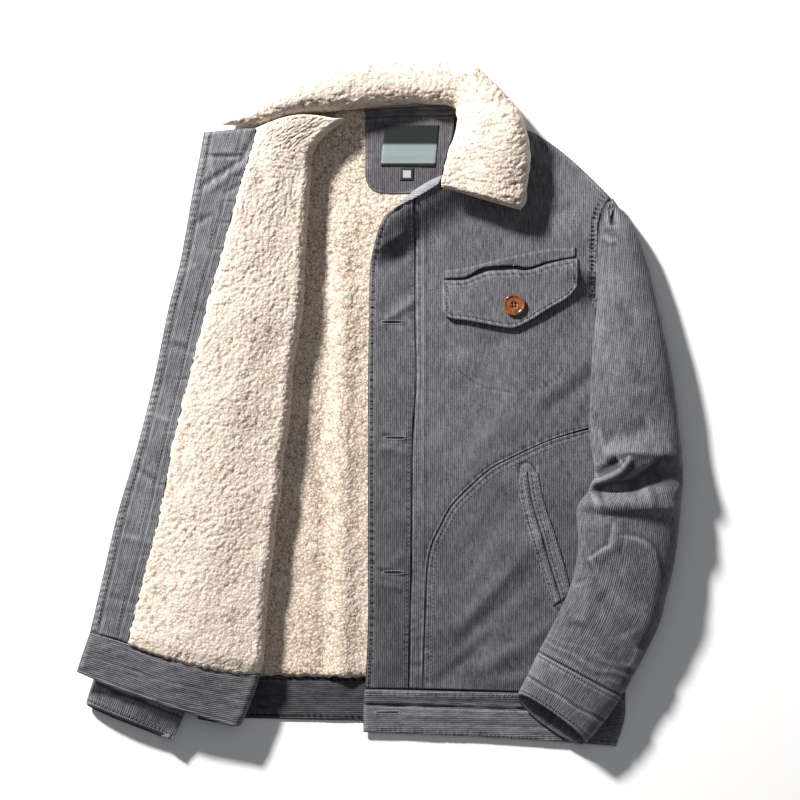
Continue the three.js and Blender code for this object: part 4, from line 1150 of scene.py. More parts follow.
def button_material():
    """Polished brown with soft swirls, as in horn."""
    material, tree, shader = new_material("polished button")
    place = tree.add("ShaderNodeTexCoord").outputs["Object"]
    swirl = tree.add("ShaderNodeTexNoise", Vector=place, Scale=110.0, Detail=3.0, Distortion=1.2)
    ramp = tree.add("ShaderNodeValToRGB", Fac=swirl.outputs[0])
    ramp.color_ramp.elements[0].position = 0.35
    ramp.color_ramp.elements[0].color = tone((84, 44, 14))
    ramp.color_ramp.elements[1].position = 0.68
    ramp.color_ramp.elements[1].color = tone((168, 94, 36))
    tree.tree.links.new(ramp.outputs[0], shader.inputs["Base Color"])
    shader.inputs["Roughness"].default_value = 0.22
    shader.inputs["Coat Weight"].default_value = 0.7
    shader.inputs["Coat Roughness"].default_value = 0.06
    return material


def label_material():
    """Woven label: near black green, with a pale band low down and fine rows of weave."""
    material, tree, shader = new_material("woven label")
    place = tree.add("ShaderNodeTexCoord").outputs["Object"]
    split = tree.add("ShaderNodeSeparateXYZ", Vector=place)
    band = tree.add("ShaderNodeMapRange", Value=split.outputs[1], i1=0.2785, i2=0.2815, i3=1.0, i4=0.0)
    foot = tree.add("ShaderNodeMapRange", Value=split.outputs[1], i1=0.2594, i2=0.2600, i3=0.0, i4=1.0)
    pale = tree.sum("MULTIPLY", band.outputs[0], foot.outputs[0], clamp=True)
    wave = tree.add("ShaderNodeTexWave", Vector=place, Scale=330.0, Distortion=0.0)
    colour = tree.mix(pale, tone((30, 35, 33)), tone((132, 145, 145)))
    weave = tree.mix(0.02, colour, wave.outputs[0])
    bump = tree.add("ShaderNodeBump", Strength=0.35, Distance=0.0003, Height=wave.outputs[1])
    tree.tree.links.new(weave, shader.inputs["Base Color"])
    tree.tree.links.new(bump.outputs[0], shader.inputs["Normal"])
    shader.inputs["Roughness"].default_value = 0.8
    shader.inputs["Specular IOR Level"].default_value = 0.08
    return material


def tab_material():
    """Size tab: a dark woven frame round a plain pale middle."""
    material, tree, shader = new_material("tab cloth")
    place = tree.add("ShaderNodeTexCoord").outputs["Object"]
    split = tree.add("ShaderNodeSeparateXYZ", Vector=place)
    inside = None
    for axis, middle, half in ((0, 0.0291, 0.0043), (1, 0.2480, 0.0040)):
        off = tree.sum("ABSOLUTE", tree.sum("SUBTRACT", split.outputs[axis], middle), 0.0)
        near = tree.sum("LESS_THAN", off, half)
        inside = near if inside is None else tree.sum("MULTIPLY", inside, near)
    colour = tree.mix(inside, tone((34, 35, 38)), tone((168, 170, 168)))
    weave = tree.add("ShaderNodeTexNoise", Vector=place, Scale=1500.0, Detail=2.0)
    bump = tree.add("ShaderNodeBump", Strength=0.3, Distance=0.0003, Height=weave.outputs[0])
    tree.tree.links.new(colour, shader.inputs["Base Color"])
    tree.tree.links.new(bump.outputs[0], shader.inputs["Normal"])
    shader.inputs["Roughness"].default_value = 0.8
    return material


def make_materials(settings):
    group = corduroy_group(settings.wale_pitch)
    corduroy_material("wale cloth", group)
    corduroy_material("pale wale cloth", group, (118, 118, 122), (186, 186, 189))
    corduroy_material("inside wale cloth", group, (56, 55, 59), (108, 105, 112))
    sherpa_material()
    button_material()
    label_material()
    tab_material()
    plain_material("thread", (104, 104, 108), 0.8, 0.05)
    plain_material("pale thread", (134, 134, 137), 0.8, 0.05)
    # Dark thread, also near black as painted shade in the buttonhole slits and in the puckers across seams.
    plain_material("dark thread and painted shade", (30, 30, 33), 0.8, 0.1)
    # Near black, as painted shadow in the pocket's mouth and painted shade in the seams.
    plain_material("painted shadow cloth", (16, 16, 18), 0.9, 0.0)


def stitches(name, runs, radius=0.42, length=2.9, gap=1.5, material="thread", lie=0.25):
    """Joined thread stitches along runs; a run is a list of points of the seam on the cloth's face."""
    sides = 5
    points = []
    faces = []
    shape = [(-0.5, 0.35), (-0.32, 1.0), (0.32, 1.0), (0.5, 0.35)]
    for run in runs:
        run = np.asarray(run, float)
        steps = np.linalg.norm(np.diff(run, axis=0), axis=1)
        total = np.concatenate([[0], np.cumsum(steps)])
        for start in np.arange(0.6, total[-1] - length, length + gap):
            ends = [
                np.array([np.interp(at, total, run[:, k]) for k in range(3)]) for at in (start, start + length)
            ]
            middle = (ends[0] + ends[1]) / 2
            along = (ends[1] - ends[0]) / max(np.linalg.norm(ends[1] - ends[0]), 1e-6)
            aside = np.cross(along, (0, 0, 1.0))
            aside /= max(np.linalg.norm(aside), 1e-6)
            up = np.cross(aside, along)
            first = len(points)
            for at, wide in shape:
                for s in range(sides):
                    angle = 2 * math.pi * s / sides
                    out = aside * math.cos(angle) + up * (math.sin(angle) * 0.75)
                    place = middle + along * (at * length) + out * radius * wide
                    points.append(place + up * lie * (wide - 0.5))
            for k in range(len(shape) - 1):
                for s in range(sides):
                    a = first + k * sides + s
                    b = first + k * sides + (s + 1) % sides
                    faces.append([a, b, b + sides, a + sides])
            faces.append([first + s for s in reversed(range(sides))])
            faces.append([first + 3 * sides + s for s in range(sides)])
    piece = make_object(name, np.array(points), faces)
    return finish_piece(piece, material, "corduroy")


def beside_line(line, offset, count=90):
    """A line moved sideways in plan; offset above nought is to the left of its direction."""
    line = np.asarray(line, float)
    total = np.concatenate([[0], np.cumsum(np.linalg.norm(np.diff(line, axis=0), axis=1))])
    at = np.linspace(0, total[-1], count)
    even = np.stack([np.interp(at, total, line[:, k]) for k in range(2)], -1)
    along = np.gradient(even, axis=0)
    along /= np.maximum(np.linalg.norm(along, axis=1, keepdims=True), 1e-6)
    return even + offset * np.stack([-along[:, 1], along[:, 0]], -1)


def on_surface(line, surface, lift=0.1):
    line = np.asarray(line, float)
    return np.column_stack([line, surface(line[:, 0], line[:, 1]) + lift])


def sheet_of_cloth(piece, flat, area, held, rests_on, trims=()):
    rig.sheet(piece, flat=flat, held=held, rests_on=rests_on, area=area, with_pieces=trims)


def laid_panel(cloth, rests_on, *plan, **looks):
    """A panel that lies flat: its material, slot and nodes, what it rests on, and its plan."""
    piece, flat, area = lay_panel(*plan, **looks)
    finish_piece(piece, *cloth)
    sheet_of_cloth(piece, flat, area, "laid", rests_on)


def back_shell_piece():
    x, y, inside = panel_plan(BACK_ROWS, 7, 7)
    laid_panel(
        ("wale cloth", "corduroy", ["back_shell"]), [],
        "jacket_back_shell", x, y, inside, lambda a, b: 0 * a, CLOTH, 0 * x,
    )


def back_lining_piece():
    """The sherpa of the back, curled where it shows and plain under the closed front."""
    rows = BACK_LINING_ROWS
    middle = rows_at(rows, np.linspace(0, 1, 60))
    width = (middle["rx"] - middle["lx"]).max()
    u = np.concatenate([np.arange(0, 262, 1.75) / width, np.arange(262, width, 9) / width, [1.0]])
    v = stops(614, 2.0, False)
    row = {name: column[:, None] for name, column in rows_at(rows, v).items()}
    x = lerp(row["lx"], row["rx"], u[None, :])
    y = lerp(row["ly"], row["ry"], u[None, :]) + row["bow"] * np.sin(np.pi * u[None, :])
    shows = ease((30 - x) / 14) + ease((x - 8) / 14) * ease((y - 196) / 12) * ease((92 - x) / 10)
    shows = np.clip(shows, 0, 1)
    tufts = pile_height(x, y, 4.6, 31)
    swell = 1.1 * noise(x, y, 38, 32) + 0.5 * noise(x, y, 15, 33)
    sunk = -2.6 * np.exp(-(((x + 62 + 6 * noise(y, 0, 60, 34)) / 9) ** 2)) * ease((215 - y) / 40)
    under_patch = ease((x + 20) / 5) * ease((84 - x) / 5) * ease((y - 222) / 6) * ease((322 - y) / 6)
    bumps = (1.4 * (tufts - 0.6) + swell + sunk) * shows * (1 - under_patch) - 0.25 * under_patch
    over = lining_top(x, y) + bumps
    flat_plan = np.stack([x, y, 0 * x], -1)
    across = arc(flat_plan, 1)
    along = arc(flat_plan, 0)
    inside = np.minimum(np.minimum(across, across[:, -1:] - across), np.minimum(along, along[-1:] - along))
    over = over - roll_down(inside, 2.6)
    under = np.stack([x, y, LINING_LOW + 0 * x], -1)
    y = y - (1.5 + 1.3 * noise(x, 0 * x, 3.7, 36)) * ease((v[:, None] - 0.993) / 0.007) * (x < 20)
    # Painted shade: the depth mark is low between the tufts and lowered all over the back, as shade from the turned
    # front.
    depth = np.clip(tufts + 0.1 * noise(x, y, 25, 35) - 0.3, 0, 1)
    piece = wall(
        "jacket_back_lining", np.stack([x, y, over], -1), under, flat_plan[..., :2], {"depth": depth}, 12,
    )
    finish_piece(piece, "sherpa pile", "sherpa", ["back_lining"])
    flat, area = cut_size(under)
    sheet_of_cloth(piece, flat, area, "laid", ["jacket_back_shell"])


def band_relief(x, y, rows, seed):
    """A waistband's soft waves and the dips at its two rows of stitches."""
    high, low = (
        list(zip((rows["lx"][k], rows["rx"][k]), (rows["ly"][k], rows["ry"][k]))) for k in (0, -1)
    )
    waves = 0.35 * noise(x * 0.3, y, 6, seed) + 0.3 * noise(x, y, 24, seed + 1)
    upper = pucker(x, y, high, 3.2, 0.5, 8.0, seed + 2)
    return waves + upper + pucker(x, y, low, 4.2, 0.55, 7.0, seed + 3)


def back_band_piece():
    x, y, inside = panel_plan(BACK_BAND_ROWS, 3.5, 2.2)
    relief = band_relief(x, y, BACK_BAND_ROWS, 51)
    relief = relief * ease((10 - x) / 30) - 0.4
    # Painted shade: the back waistband is darkened, as it lies in shadow.
    laid_panel(
        ("wale cloth", "corduroy", ["back_waistband"]), [],
        "jacket_back_waistband", x, y, inside, lambda a, b: 0 * a, DOUBLE, relief, "across", shade=0.6,
    )


def neck_pieces():
    """The neck tape, the hanger patch, the label and the size tab, each on the one below."""
    def patch_relief(x, y):
        waves = 0.25 * noise(x, y, 22, 61)
        steps = 0.5 * np.exp(-(((y - 268) / 3) ** 2)) - 0.4 * np.exp(-(((y - 262) / 2.5) ** 2))
        return waves + 0.35 * steps + pucker(x, y, row_edge(PATCH_ROWS, "l"), 3.4, 0.35, 7.0, 62)

    x, y, inside = panel_plan(TAPE_ROWS, 2.5, 1.2)
    laid_panel(
        ("inside wale cloth", "corduroy", ["neck_tape"]), ["jacket_back_lining"],
        "jacket_neck_tape", x, y, inside, on_lining, THIN, 0.1 * noise(x, y, 7, 63), "across",
    )
    x, y, inside = panel_plan(PATCH_ROWS, 2.2, 2.0)
    laid_panel(
        ("inside wale cloth", "corduroy", ["hanger_patch"]), ["jacket_back_lining"],
        "jacket_hanger_patch", x, y, inside, on_lining, THIN, patch_relief(x, y),
    )

    def on_patch(x, y):
        return on_lining(x, y) + THIN + SEAM

    def over_patch(x, y):
        return on_patch(x, y) + np.maximum(patch_relief(x, y), -0.1)

    for name, node, rows, material, slot in (
        ("jacket_label", "label", LABEL_ROWS, "woven label", "label"),
        ("jacket_size_tab", "size_tab", SIZE_TAB_ROWS, "tab cloth", "tab"),
    ):
        x, y, inside = panel_plan(rows, 2.0, 2.0)
        relief = 0.25 * noise(x, y, 18, 66) + 0.2
        laid_panel(
            (material, slot, [node]), ["jacket_hanger_patch"],
            name, x, y, inside, over_patch, THIN * 0.9, relief,
        )


def neck_edge_piece():
    """The pale edge of the facing that shows at the neck, along the placket's top."""
    x, y, inside = panel_plan(NECK_EDGE_ROWS, 2.4, 1.2)
    low = np.maximum(placket_top(x, y), front_top(x, y)) + CLEAR
    piece, flat, area = lay_panel("jacket_neck_edge", x, y, inside, lambda a, b: low, THIN, 0 * x, "across")
    return finish_piece(piece, "pale wale cloth", "corduroy", ["left_neck_edge"])


def painted_lower_shade(y):
    """Painted shade: the cloth is a little darker low on the front, where it curves away from the light."""
    return 0.3 * ease((70 - y) / 260)


def closed_front_pieces():
    """The left front above and below its pocket seam, its placket, waistband and neck edge."""
    x, y, inside = panel_plan(FRONT_ROWS, 2.4, 2.2)
    laid_panel(
        ("wale cloth", "corduroy", ["left_front"]), ["jacket_back_lining"],
        "jacket_left_front", x, y, inside, front_low, CLOTH, front_relief(x, y), shade=painted_lower_shade(y),
    )
    x, y, inside = panel_plan(POCKET_PANEL_ROWS, 2.4, 2.2)
    laid_panel(
        ("wale cloth", "corduroy", ["left_front_lower"]), ["jacket_back_lining"],
        "jacket_left_pocket_panel", x, y, inside, front_low, CLOTH, front_relief(x, y), shade=painted_lower_shade(y),
    )
    x, y, inside = panel_plan(PLACKET_ROWS, 2.0, 2.0)
    # The placket is also a little darker all over.
    piece, flat, area = lay_panel(
        "jacket_placket", x, y, inside, front_low, DOUBLE, placket_relief(x, y), shade=0.18 + painted_lower_shade(y),
    )
    finish_piece(piece, "wale cloth", "corduroy", ["left_placket"])
    sheet_of_cloth(piece, flat, area, "laid", ["jacket_back_lining"], [neck_edge_piece()])
    x, y, inside = panel_plan(FRONT_BAND_ROWS, 3.0, 1.8)
    laid_panel(
        ("wale cloth", "corduroy", ["left_waistband"]), ["jacket_back_waistband"],
        "jacket_left_waistband", x, y, inside, front_low, DOUBLE, front_band_relief(x, y), "across",
    )
    seam_allowance_pieces()


def armhole_seam_piece():
    """The cloth turned in at the armhole, from under the front into the sleeve's head."""
    count = 60
    angle = np.linspace(0.97 * np.pi, 0.12, count)
    head = np.array([0.012])
    sleeve = sleeve_point(LEFT_SLEEVE_ROWS, ELBOW_FOLDS, under_left_sleeve, angle, head, CLOTH + 0.4)[0]
    edge = np.array(ARMHOLE_SEAM)[::-1]
    y = np.linspace(ARMHOLE_FOOT + 4, 221, count)
    x = np.interp(y, edge[:, 1], edge[:, 0]) - 2.5
    front = np.column_stack([x, y, front_low(x, y) - 0.9])
    t = np.linspace(0, 1, 9)[None, :, None]
    loft = lerp(front[:, None, :2], sleeve[:, None, :2], t)
    level = lerp(front[:, None, 2:], sleeve[:, None, 2:], ease((t - 0.34) / 0.66)) - 1.2 * np.sin(np.pi * t)
    foot = np.concatenate([loft, level], -1)
    piece = wall("jacket_armhole_seam", foot + (0, 0, 0.5), foot, foot[..., :2], {})
    finish_piece(piece, "wale cloth", "corduroy")
    flat, area = cut_size(foot)
    sheet_of_cloth(piece, flat, area, "laid", ["jacket_left_front"])


def seam_allowance_pieces():
    """The cloth turned in behind the placket's seam and the curved pocket seam, coloured near black as painted shade
    in the seams.
    """
    for name, line, offset in (
        ("jacket_placket_allowance", PLACKET_SEAM, -0.6), ("jacket_pocket_allowance", POCKET_SEAM, 0.6),
    ):
        across = np.linspace(-5.4, 5.4, 7)
        plan = np.stack([beside_line(line, offset + a, 120) for a in across], axis=1)
        x, y = plan[..., 0], plan[..., 1]
        under = front_low(x, y) - 0.5
        over = np.stack([x, y, under + 0.3], -1)
        foot = np.stack([x, y, under], -1)
        piece = wall(name, over, foot, foot[..., :2], {})
        finish_piece(piece, "painted shadow cloth", "corduroy")
        flat, area = cut_size(foot)
        sheet_of_cloth(piece, flat, area, "laid", ["jacket_back_lining"])


BAND_CREASES = table(
    "x0 y0 x1 y1 width height",
    (-12, -327, 180, -333, 1.6, -1.7), (-12, -323, 180, -329, 2.2, 0.8), (150, -331, 240, -338, 2.0, -0.8),
    (-10, -337, 120, -341, 2.6, 0.7), (60, -346, 200, -352, 2.0, -0.6),
)


def front_band_relief(x, y):
    crease = creases(x, y, BAND_CREASES) * (1 + 0.4 * noise(x, y, 12, 71))
    return band_relief(x, y, FRONT_BAND_ROWS, 72) + crease


def pocket_pieces():
    """The chest pocket's mouth, welt and flap and the two welts of the hand pocket."""
    pocket_mouth_piece()
    x, y, v, inside = strip_plan(WELT_SECTIONS, 2.4, 1.6)
    low = front_top(x, y) + 0.4
    relief = 0.3 * noise(x, y, 9, 81) + 0.25 * np.sin(2 * np.pi * x / 9) * np.exp(-((inside / 3.0) ** 2))
    laid_panel(
        ("wale cloth", "corduroy", ["chest_welt"]), ["jacket_left_front"],
        "jacket_chest_welt", x, y, inside, lambda a, b: low, CLOTH, relief, strength=0.5,
    )
    x, y, v, inside = strip_plan(FLAP_SECTIONS, 2.2, 1.8)
    y = y - flap_gap(x) * ease((0.5 - v) / 0.5)
    low = flap_low(x, y, v)
    laid_panel(
        ("wale cloth", "corduroy", ["chest_flap"]), ["jacket_left_front"],
        "jacket_chest_flap", x, y, inside, lambda a, b: low, CLOTH, flap_relief(x, y, inside), strength=0.8,
    )
    for name, node, rows in (
        ("jacket_hand_pocket_front_welt", "hand_pocket_welt_left", HAND_LEFT_ROWS),
        ("jacket_hand_pocket_back_welt", "hand_pocket_welt_right", HAND_RIGHT_ROWS),
    ):
        x, y, inside = panel_plan(rows, 1.8, 2.2)
        low = front_top(x, y) + 0.4
        line = row_edge(rows, "l")
        relief = pucker(x, y, line, 3.0, 0.5, 7.0, 83) + 0.25 * noise(x, y, 8, 84)
        laid_panel(
            ("wale cloth", "corduroy", [node]), ["jacket_left_front"],
            name, x, y, inside, lambda a, b: low, CLOTH, relief, strength=0.5, turned=0.2,
        )


def flap_gap(x):
    """How far the flap's top edge has sagged from the welt, which opens the pocket's mouth."""
    middle = np.exp(-(((x - 122) / 34) ** 2))
    return 0.6 + middle * (3.4 + 1.0 * noise(x, 0 * x, 9, 86))


def pocket_mouth_piece():
    """A near-black sheet in the open mouth of the chest pocket: painted shadow, where the mouth lies in shade."""
    x = np.linspace(72, 210, 70)[None, :]
    v = np.linspace(0, 1, 4)[:, None]
    top = through(FLAP_SECTIONS["x"], FLAP_SECTIONS["top"], x) + 2.4
    y = top - 9.0 * v
    x = x + 0 * y
    low = front_top(x, y) + 0.08
    foot = np.stack([x, y, low], -1)
    over = np.stack([x, y, low + 0.22], -1)
    piece = wall("jacket_pocket_mouth", over, foot, foot[..., :2], {})
    finish_piece(piece, "painted shadow cloth", "corduroy")
    flat, area = cut_size(foot)
    sheet_of_cloth(piece, flat, area, "laid", ["jacket_left_front"])


def flap_low(x, y, v):
    level = front_low(x, y) + CLOTH + np.maximum(front_relief(x, y), -0.2)
    return level + 0.4 + FLAP_LIFT * v * v


def flap_relief(x, y, inside):
    groove = -0.5 * np.exp(-(((inside - 5.2) / 1.2) ** 2))
    ripple = 0.3 * np.sin(2 * np.pi * (x + 0.5 * y) / 8) * np.exp(-(((inside - 4) / 4) ** 2))
    return 0.35 * noise(x, y, 16, 85) + groove + ripple


def sleeve_point(rows, folds, low, angle, v, inset):
    """A flattened tube of cloth that rests on low(x, y)."""
    row = {name: column[:, None] for name, column in rows_at(rows, v).items()}
    angle = angle[None, :]
    half_x = (row["rx"] - row["lx"]) / 2
    half_y = (row["ry"] - row["ly"]) / 2
    half = np.hypot(half_x, half_y)
    side = signed_power(np.cos(angle), 0.85) * (1 - inset / half)
    height = np.sin(angle)
    x = (row["lx"] + row["rx"]) / 2 + half_x * side
    y = (row["ly"] + row["ry"]) / 2 + half_y * side
    floor = low(x, y)
    widest = lerp(floor, row["top"], 0.42)
    crown = row["top"] + 0 * side
    if folds is not None:
        for at, lean, width, rise in zip(*folds.values()):
            crown = crown + rise * np.exp(-(((v[:, None] - at - lean * side) / width) ** 2))
    tall = np.clip(height, 0, 1) ** 0.8
    deep = np.abs(height) ** 0.5
    upper = widest + (crown - inset - widest) * tall
    lower = widest - (widest - floor - inset) * deep
    z = np.where(height > 0, upper, lower)
    back = row.get("back", 0 * half)
    out = row.get("out", 0 * half)
    bow = row.get("bow", 0 * half)
    slide = np.where(height > 0, -back, out) * np.abs(height) - bow * (1 - side * side)
    return np.stack([x + slide * half_y / half, y - slide * half_x / half, z], -1)


def sleeve_piece(name, rows, folds, low, thickness, around, step, relief, seed, nodes):
    """A sleeve or cuff, with its creases pressed into its upper side."""
    length = np.hypot(np.diff(rows["lx"] + rows["rx"]) / 2, np.diff(rows["ly"] + rows["ry"]) / 2).sum()
    v = stops(length, step)
    angle = -np.pi / 2 + 2 * np.pi * np.arange(around) / around
    outer = sleeve_point(rows, folds, low, angle, v, 0.0)
    inner = sleeve_point(rows, folds, low, angle, v, thickness)
    along = v[:, None] * length
    ends = np.minimum(along, length - along)
    x = outer[..., 0]
    y = outer[..., 1]
    upper = ease((np.sin(angle)[None, :] + 0.12) / 0.5)
    waves = 0.5 * noise(x, y, 44, seed) + 0.18 * noise(x, y, 15, seed + 1) + 0.08 * noise(x, y, 5, seed + 2)
    change = (waves + relief(x, y, along, length)) * upper
    outward = grid_normals(outer, True)
    if (outward[..., 2] * upper).sum() < 0:
        outward = -outward
    moved = outer + outward * change[..., None] - outward * roll_down(ends)[..., None]
    inner = inner + outward * np.minimum(change, 0)[..., None]
    rim = np.linalg.norm(np.roll(outer, -1, axis=1) - outer, axis=-1)
    run = np.cumsum(rim, axis=1).mean(axis=0)[None, :] + 0 * along
    if folds is not None:
        below = ease((v[:, None] - 0.42) / 0.06)
        run = lerp(x - 0.09 * y, run, below)
    cloth = np.stack([run, along + 0 * rim], -1)
    bend = -(np.roll(change, 1, axis=1) + np.roll(change, -1, axis=1) - 2 * change)
    bend[1:-1] -= change[2:] + change[:-2] - 2 * change[1:-1]
    # The worn mark is also raised on the ridges of the folds, so they are paler.
    worn = np.clip(worn_edge(ends + 0 * x, x, y, 0.8) + np.clip(bend * 0.7, 0, 0.4), 0, 1)
    # Painted shade in the hollows of the folds.
    painted_fold_shade = np.clip(-bend * 1.1, 0, 0.5) * upper
    piece = tube(name, moved, inner, cloth, {"worn": worn, "seam": np.maximum(painted_edge_shade(ends) + 0 * x, painted_fold_shade)})
    finish_piece(piece, "wale cloth", "corduroy", nodes)
    closed = np.concatenate([outer, outer[:, :1]], axis=1)
    flat, area = cut_size(closed)
    return piece, flat, area, moved


def sleeve_relief(x, y, along, length):
    gathers = -1.1 * np.abs(np.sin(2 * np.pi * along / 19 + 2 * noise(x, y, 25, 95)))
    gathers = gathers * ease((length - along) / 6) * ease((along - length + 34) / 30)
    return folds_on(x, y, SLEEVE_FOLDS) + 0.4 * gathers


def cuff_relief(x, y, along, length):
    middle = -1.5 * np.exp(-(((along - 0.52 * length + 2 * noise(x, y, 20, 97)) / 2.2) ** 2))
    lip = -0.6 * np.exp(-(((along - length + 5.0) / 1.2) ** 2))
    start = -0.6 * np.exp(-(((along - 4.0) / 1.2) ** 2))
    return middle + lip + start


def plain_relief(x, y, along, length):
    return 0 * x


def sleeve_pieces():
    for name, rows, folds, low, thick, around, step, relief, seed, nodes, held in (
        ("jacket_left_sleeve", LEFT_SLEEVE_ROWS, ELBOW_FOLDS, under_left_sleeve, CLOTH, 120, 2.0,
         sleeve_relief, 91, ["left_sleeve", "left_undersleeve"], "laid"),
        ("jacket_left_cuff", LEFT_CUFF_ROWS, None, under_left_sleeve, DOUBLE, 100, 2.0,
         cuff_relief, 93, ["left_cuff"], "laid"),
        ("jacket_right_sleeve", RIGHT_SLEEVE_ROWS, None, under_right_sleeve, CLOTH, 48, 7.0,
         plain_relief, 98, ["right_sleeve", "right_undersleeve"], "folded"),
        ("jacket_right_cuff", RIGHT_CUFF_ROWS, None, under_right_sleeve, DOUBLE, 64, 2.4,
         cuff_relief, 99, ["right_cuff"], "folded"),
    ):
        piece, flat, area, _ = sleeve_piece(name, rows, folds, low, thick, around, step, relief, seed, nodes)
        sheet_of_cloth(piece, flat, area, held, ["jacket_back_shell"])
    armhole_seam_piece()


def layer_stops(*counts):
    """Places round the turned front, with a number of them for each of its parts in turn."""
    return np.unique(np.concatenate([np.linspace(k, k + 1, n) for k, n in enumerate(counts)]))


def turned_piece(name, node, rows, u, v, near, far, outside, relief, material, slot, extra=None, step=6,
                 along_band=False, spill=0.0):
    """A layer of the turned front, relief mm out of its outer face."""
    lower = turned_point(rows, u, v, near, outside)
    upper = turned_point(rows, u, v, far, outside)
    x = upper[..., 0]
    y = upper[..., 1]
    run = arc(upper, 1)
    inside = np.minimum(run, run[:, -1:] - run)
    down = arc(upper, 0)
    inside = np.minimum(inside, np.minimum(down, down[-1:] - down))
    change = relief(x, y, u, v, run)
    out = upper - lower
    out = out / np.linalg.norm(out, axis=-1, keepdims=True)
    moved = upper + out * (change - roll_down(inside, min(EDGE_ROLL, 0.6 * (far - near))))[..., None]
    if spill:
        aside = moved[:, -1] - moved[:, -3]
        aside = aside / np.linalg.norm(aside, axis=-1, keepdims=True)
        reach = spill * (1 + 0.9 * noise(y[:, -1], 0 * y[:, -1], 3.7, 120))[:, None] * ease((u - 2.93) / 0.07)
        moved = moved + aside[:, None, :] * reach[..., None]
        foot = spill * (1 + 0.9 * noise(x[-1], 0 * x[-1], 3.7, 125)) * ease((u - 1.9) / 0.2)
        moved[..., 1] -= foot * ease((v[:, None] - 0.992) / 0.008)
    cloth = np.stack([down, run] if along_band else [run, down], -1)
    bend = hollow(change)
    # The worn mark is also raised on the ridges of the relief, so they are paler.
    worn = np.clip(worn_edge(inside, x, y, 1.0) + np.clip(-bend * 0.45, 0, 0.3), 0, 1)
    # Painted shade at the edges and in the hollows of the relief.
    marks = {"worn": worn, "seam": np.maximum(painted_edge_shade(inside), np.clip(bend * 0.5, 0, 0.5))}
    # The extra mark is the pile's depth, which paints shade between its tufts.
    if extra:
        marks = {"depth": extra(x, y, u, run)}
    piece = wall(name, moved, lower, cloth, marks, step)
    finish_piece(piece, material, slot, [node])
    flat, area = cut_size(lower)
    sheet_of_cloth(piece, flat, area, "folded", ["jacket_back_lining"])
    return moved


def facing_relief(x, y, u, v, run):
    """Three strips: a puckered edge, the middle, and a smoother strip beside the lining."""
    wide = run[:, -1:]
    from_edge = wide - run
    waves = 0.5 * noise(x, y, 26, 101) + 0.3 * noise(x, y, 10, 102)
    seams = -0.7 * np.exp(-(((from_edge - 9) / 1.5) ** 2)) + 0.5 * np.exp(-(((from_edge - 11.5) / 1.6) ** 2))
    inner = 0.3 * wide
    past = run - inner
    seams = seams - 0.7 * np.exp(-((past / 1.5) ** 2)) + 0.5 * np.exp(-(((past + 2.6) / 1.6) ** 2))
    tick = np.exp(-((np.sin(np.pi * (y / 7 + 0.3 * noise(y, 0 * y, 30, 103))) / 0.6) ** 2))
    ladder = -0.75 * tick * np.exp(-(((from_edge - 3.5) / 5) ** 4))
    cross = np.exp(-((np.sin(np.pi * (y / 31 + 0.4 * noise(y, 0 * y, 60, 104))) / 0.16) ** 2))
    ladder = ladder - 0.7 * cross * np.exp(-(((run - 0.5 * inner) / 9) ** 4))
    return waves + seams + ladder + creases(x, y, FACING_CREASES)


def turned_front_pieces():
    """The right front turned back: its shell inside the fold, its sherpa, facing and waistband."""
    shell_u = layer_stops(14, 12, 20, 12)
    shell_v = stops(600, 9)
    turned_piece(
        "jacket_right_front_shell", "right_front_shell", TURNED_ROWS, shell_u, shell_v, 0, CLOTH, LINING_TOP,
        lambda x, y, u, v, run: 0 * x, "wale cloth", "corduroy",
    )
    lining_u = layer_stops(10, 26, 74)
    lining_v = stops(600, 1.75, False)

    def lining_tufts(x, y, u, run):
        return np.clip(pile_height(run, y, 4.8, 111) + 0.08 * noise(x, y, 22, 112), 0, 1)

    def lining_relief(x, y, u, v, run):
        shows = ease((u[None, :] - 1.0) / 0.25)
        swell = 0.9 * noise(x, y, 34, 113) + 0.5 * noise(x, y, 14, 114)
        dent = -1.8 * np.exp(-(((x + 100 + 0.12 * y) / 7) ** 2)) * ease((y - 210) / 30)
        foot = (-2.6 + 1.0 * noise(x, 0 * x, 6, 119)) * ease((v[:, None] - 0.983) / 0.017)
        return (1.3 * (lining_tufts(x, y, u, run) - 0.6) + swell + dent + foot) * shows

    turned_piece(
        "jacket_right_front_lining", "right_front_lining", TURNED_ROWS, lining_u, lining_v,
        LINING_LOW, LINING_TOP, LINING_TOP, lining_relief, "sherpa pile", "sherpa",
        lining_tufts, 8, spill=1.6,
    )
    facing_u = np.linspace(3 + FACING_GAP, 4, 22)
    turned_piece(
        "jacket_right_front_facing", "right_front_facing", TURNED_ROWS, facing_u, stops(600, 2.4), LINING_LOW,
        LINING_LOW + DOUBLE, LINING_TOP, facing_relief, "wale cloth", "corduroy",
    )

    def band_waves(x, y, u, v, run):
        wave = 0.4 * noise(x * 0.3, y, 6, 115) + 0.4 * noise(x, y, 22, 116)
        low = -0.55 * np.exp(-((((1 - v[:, None]) * 56 - 5) / 1.4) ** 2))
        high = -0.55 * np.exp(-(((v[:, None] * 56 - 4) / 1.4) ** 2))
        crease = -0.5 * np.exp(-(((v[:, None] * 56 - 26 - 3 * noise(x, y, 30, 117)) / 1.8) ** 2))
        return (wave + low + high + crease) * ease((u[None, :] - 1) / 0.3)

    band_u = layer_stops(10, 20, 46, 16)
    turned_piece(
        "jacket_right_waistband", "right_waistband", TURNED_BAND_ROWS, band_u, stops(58, 1.8),
        0, DOUBLE, DOUBLE, band_waves, "wale cloth", "corduroy", along_band=True,
    )


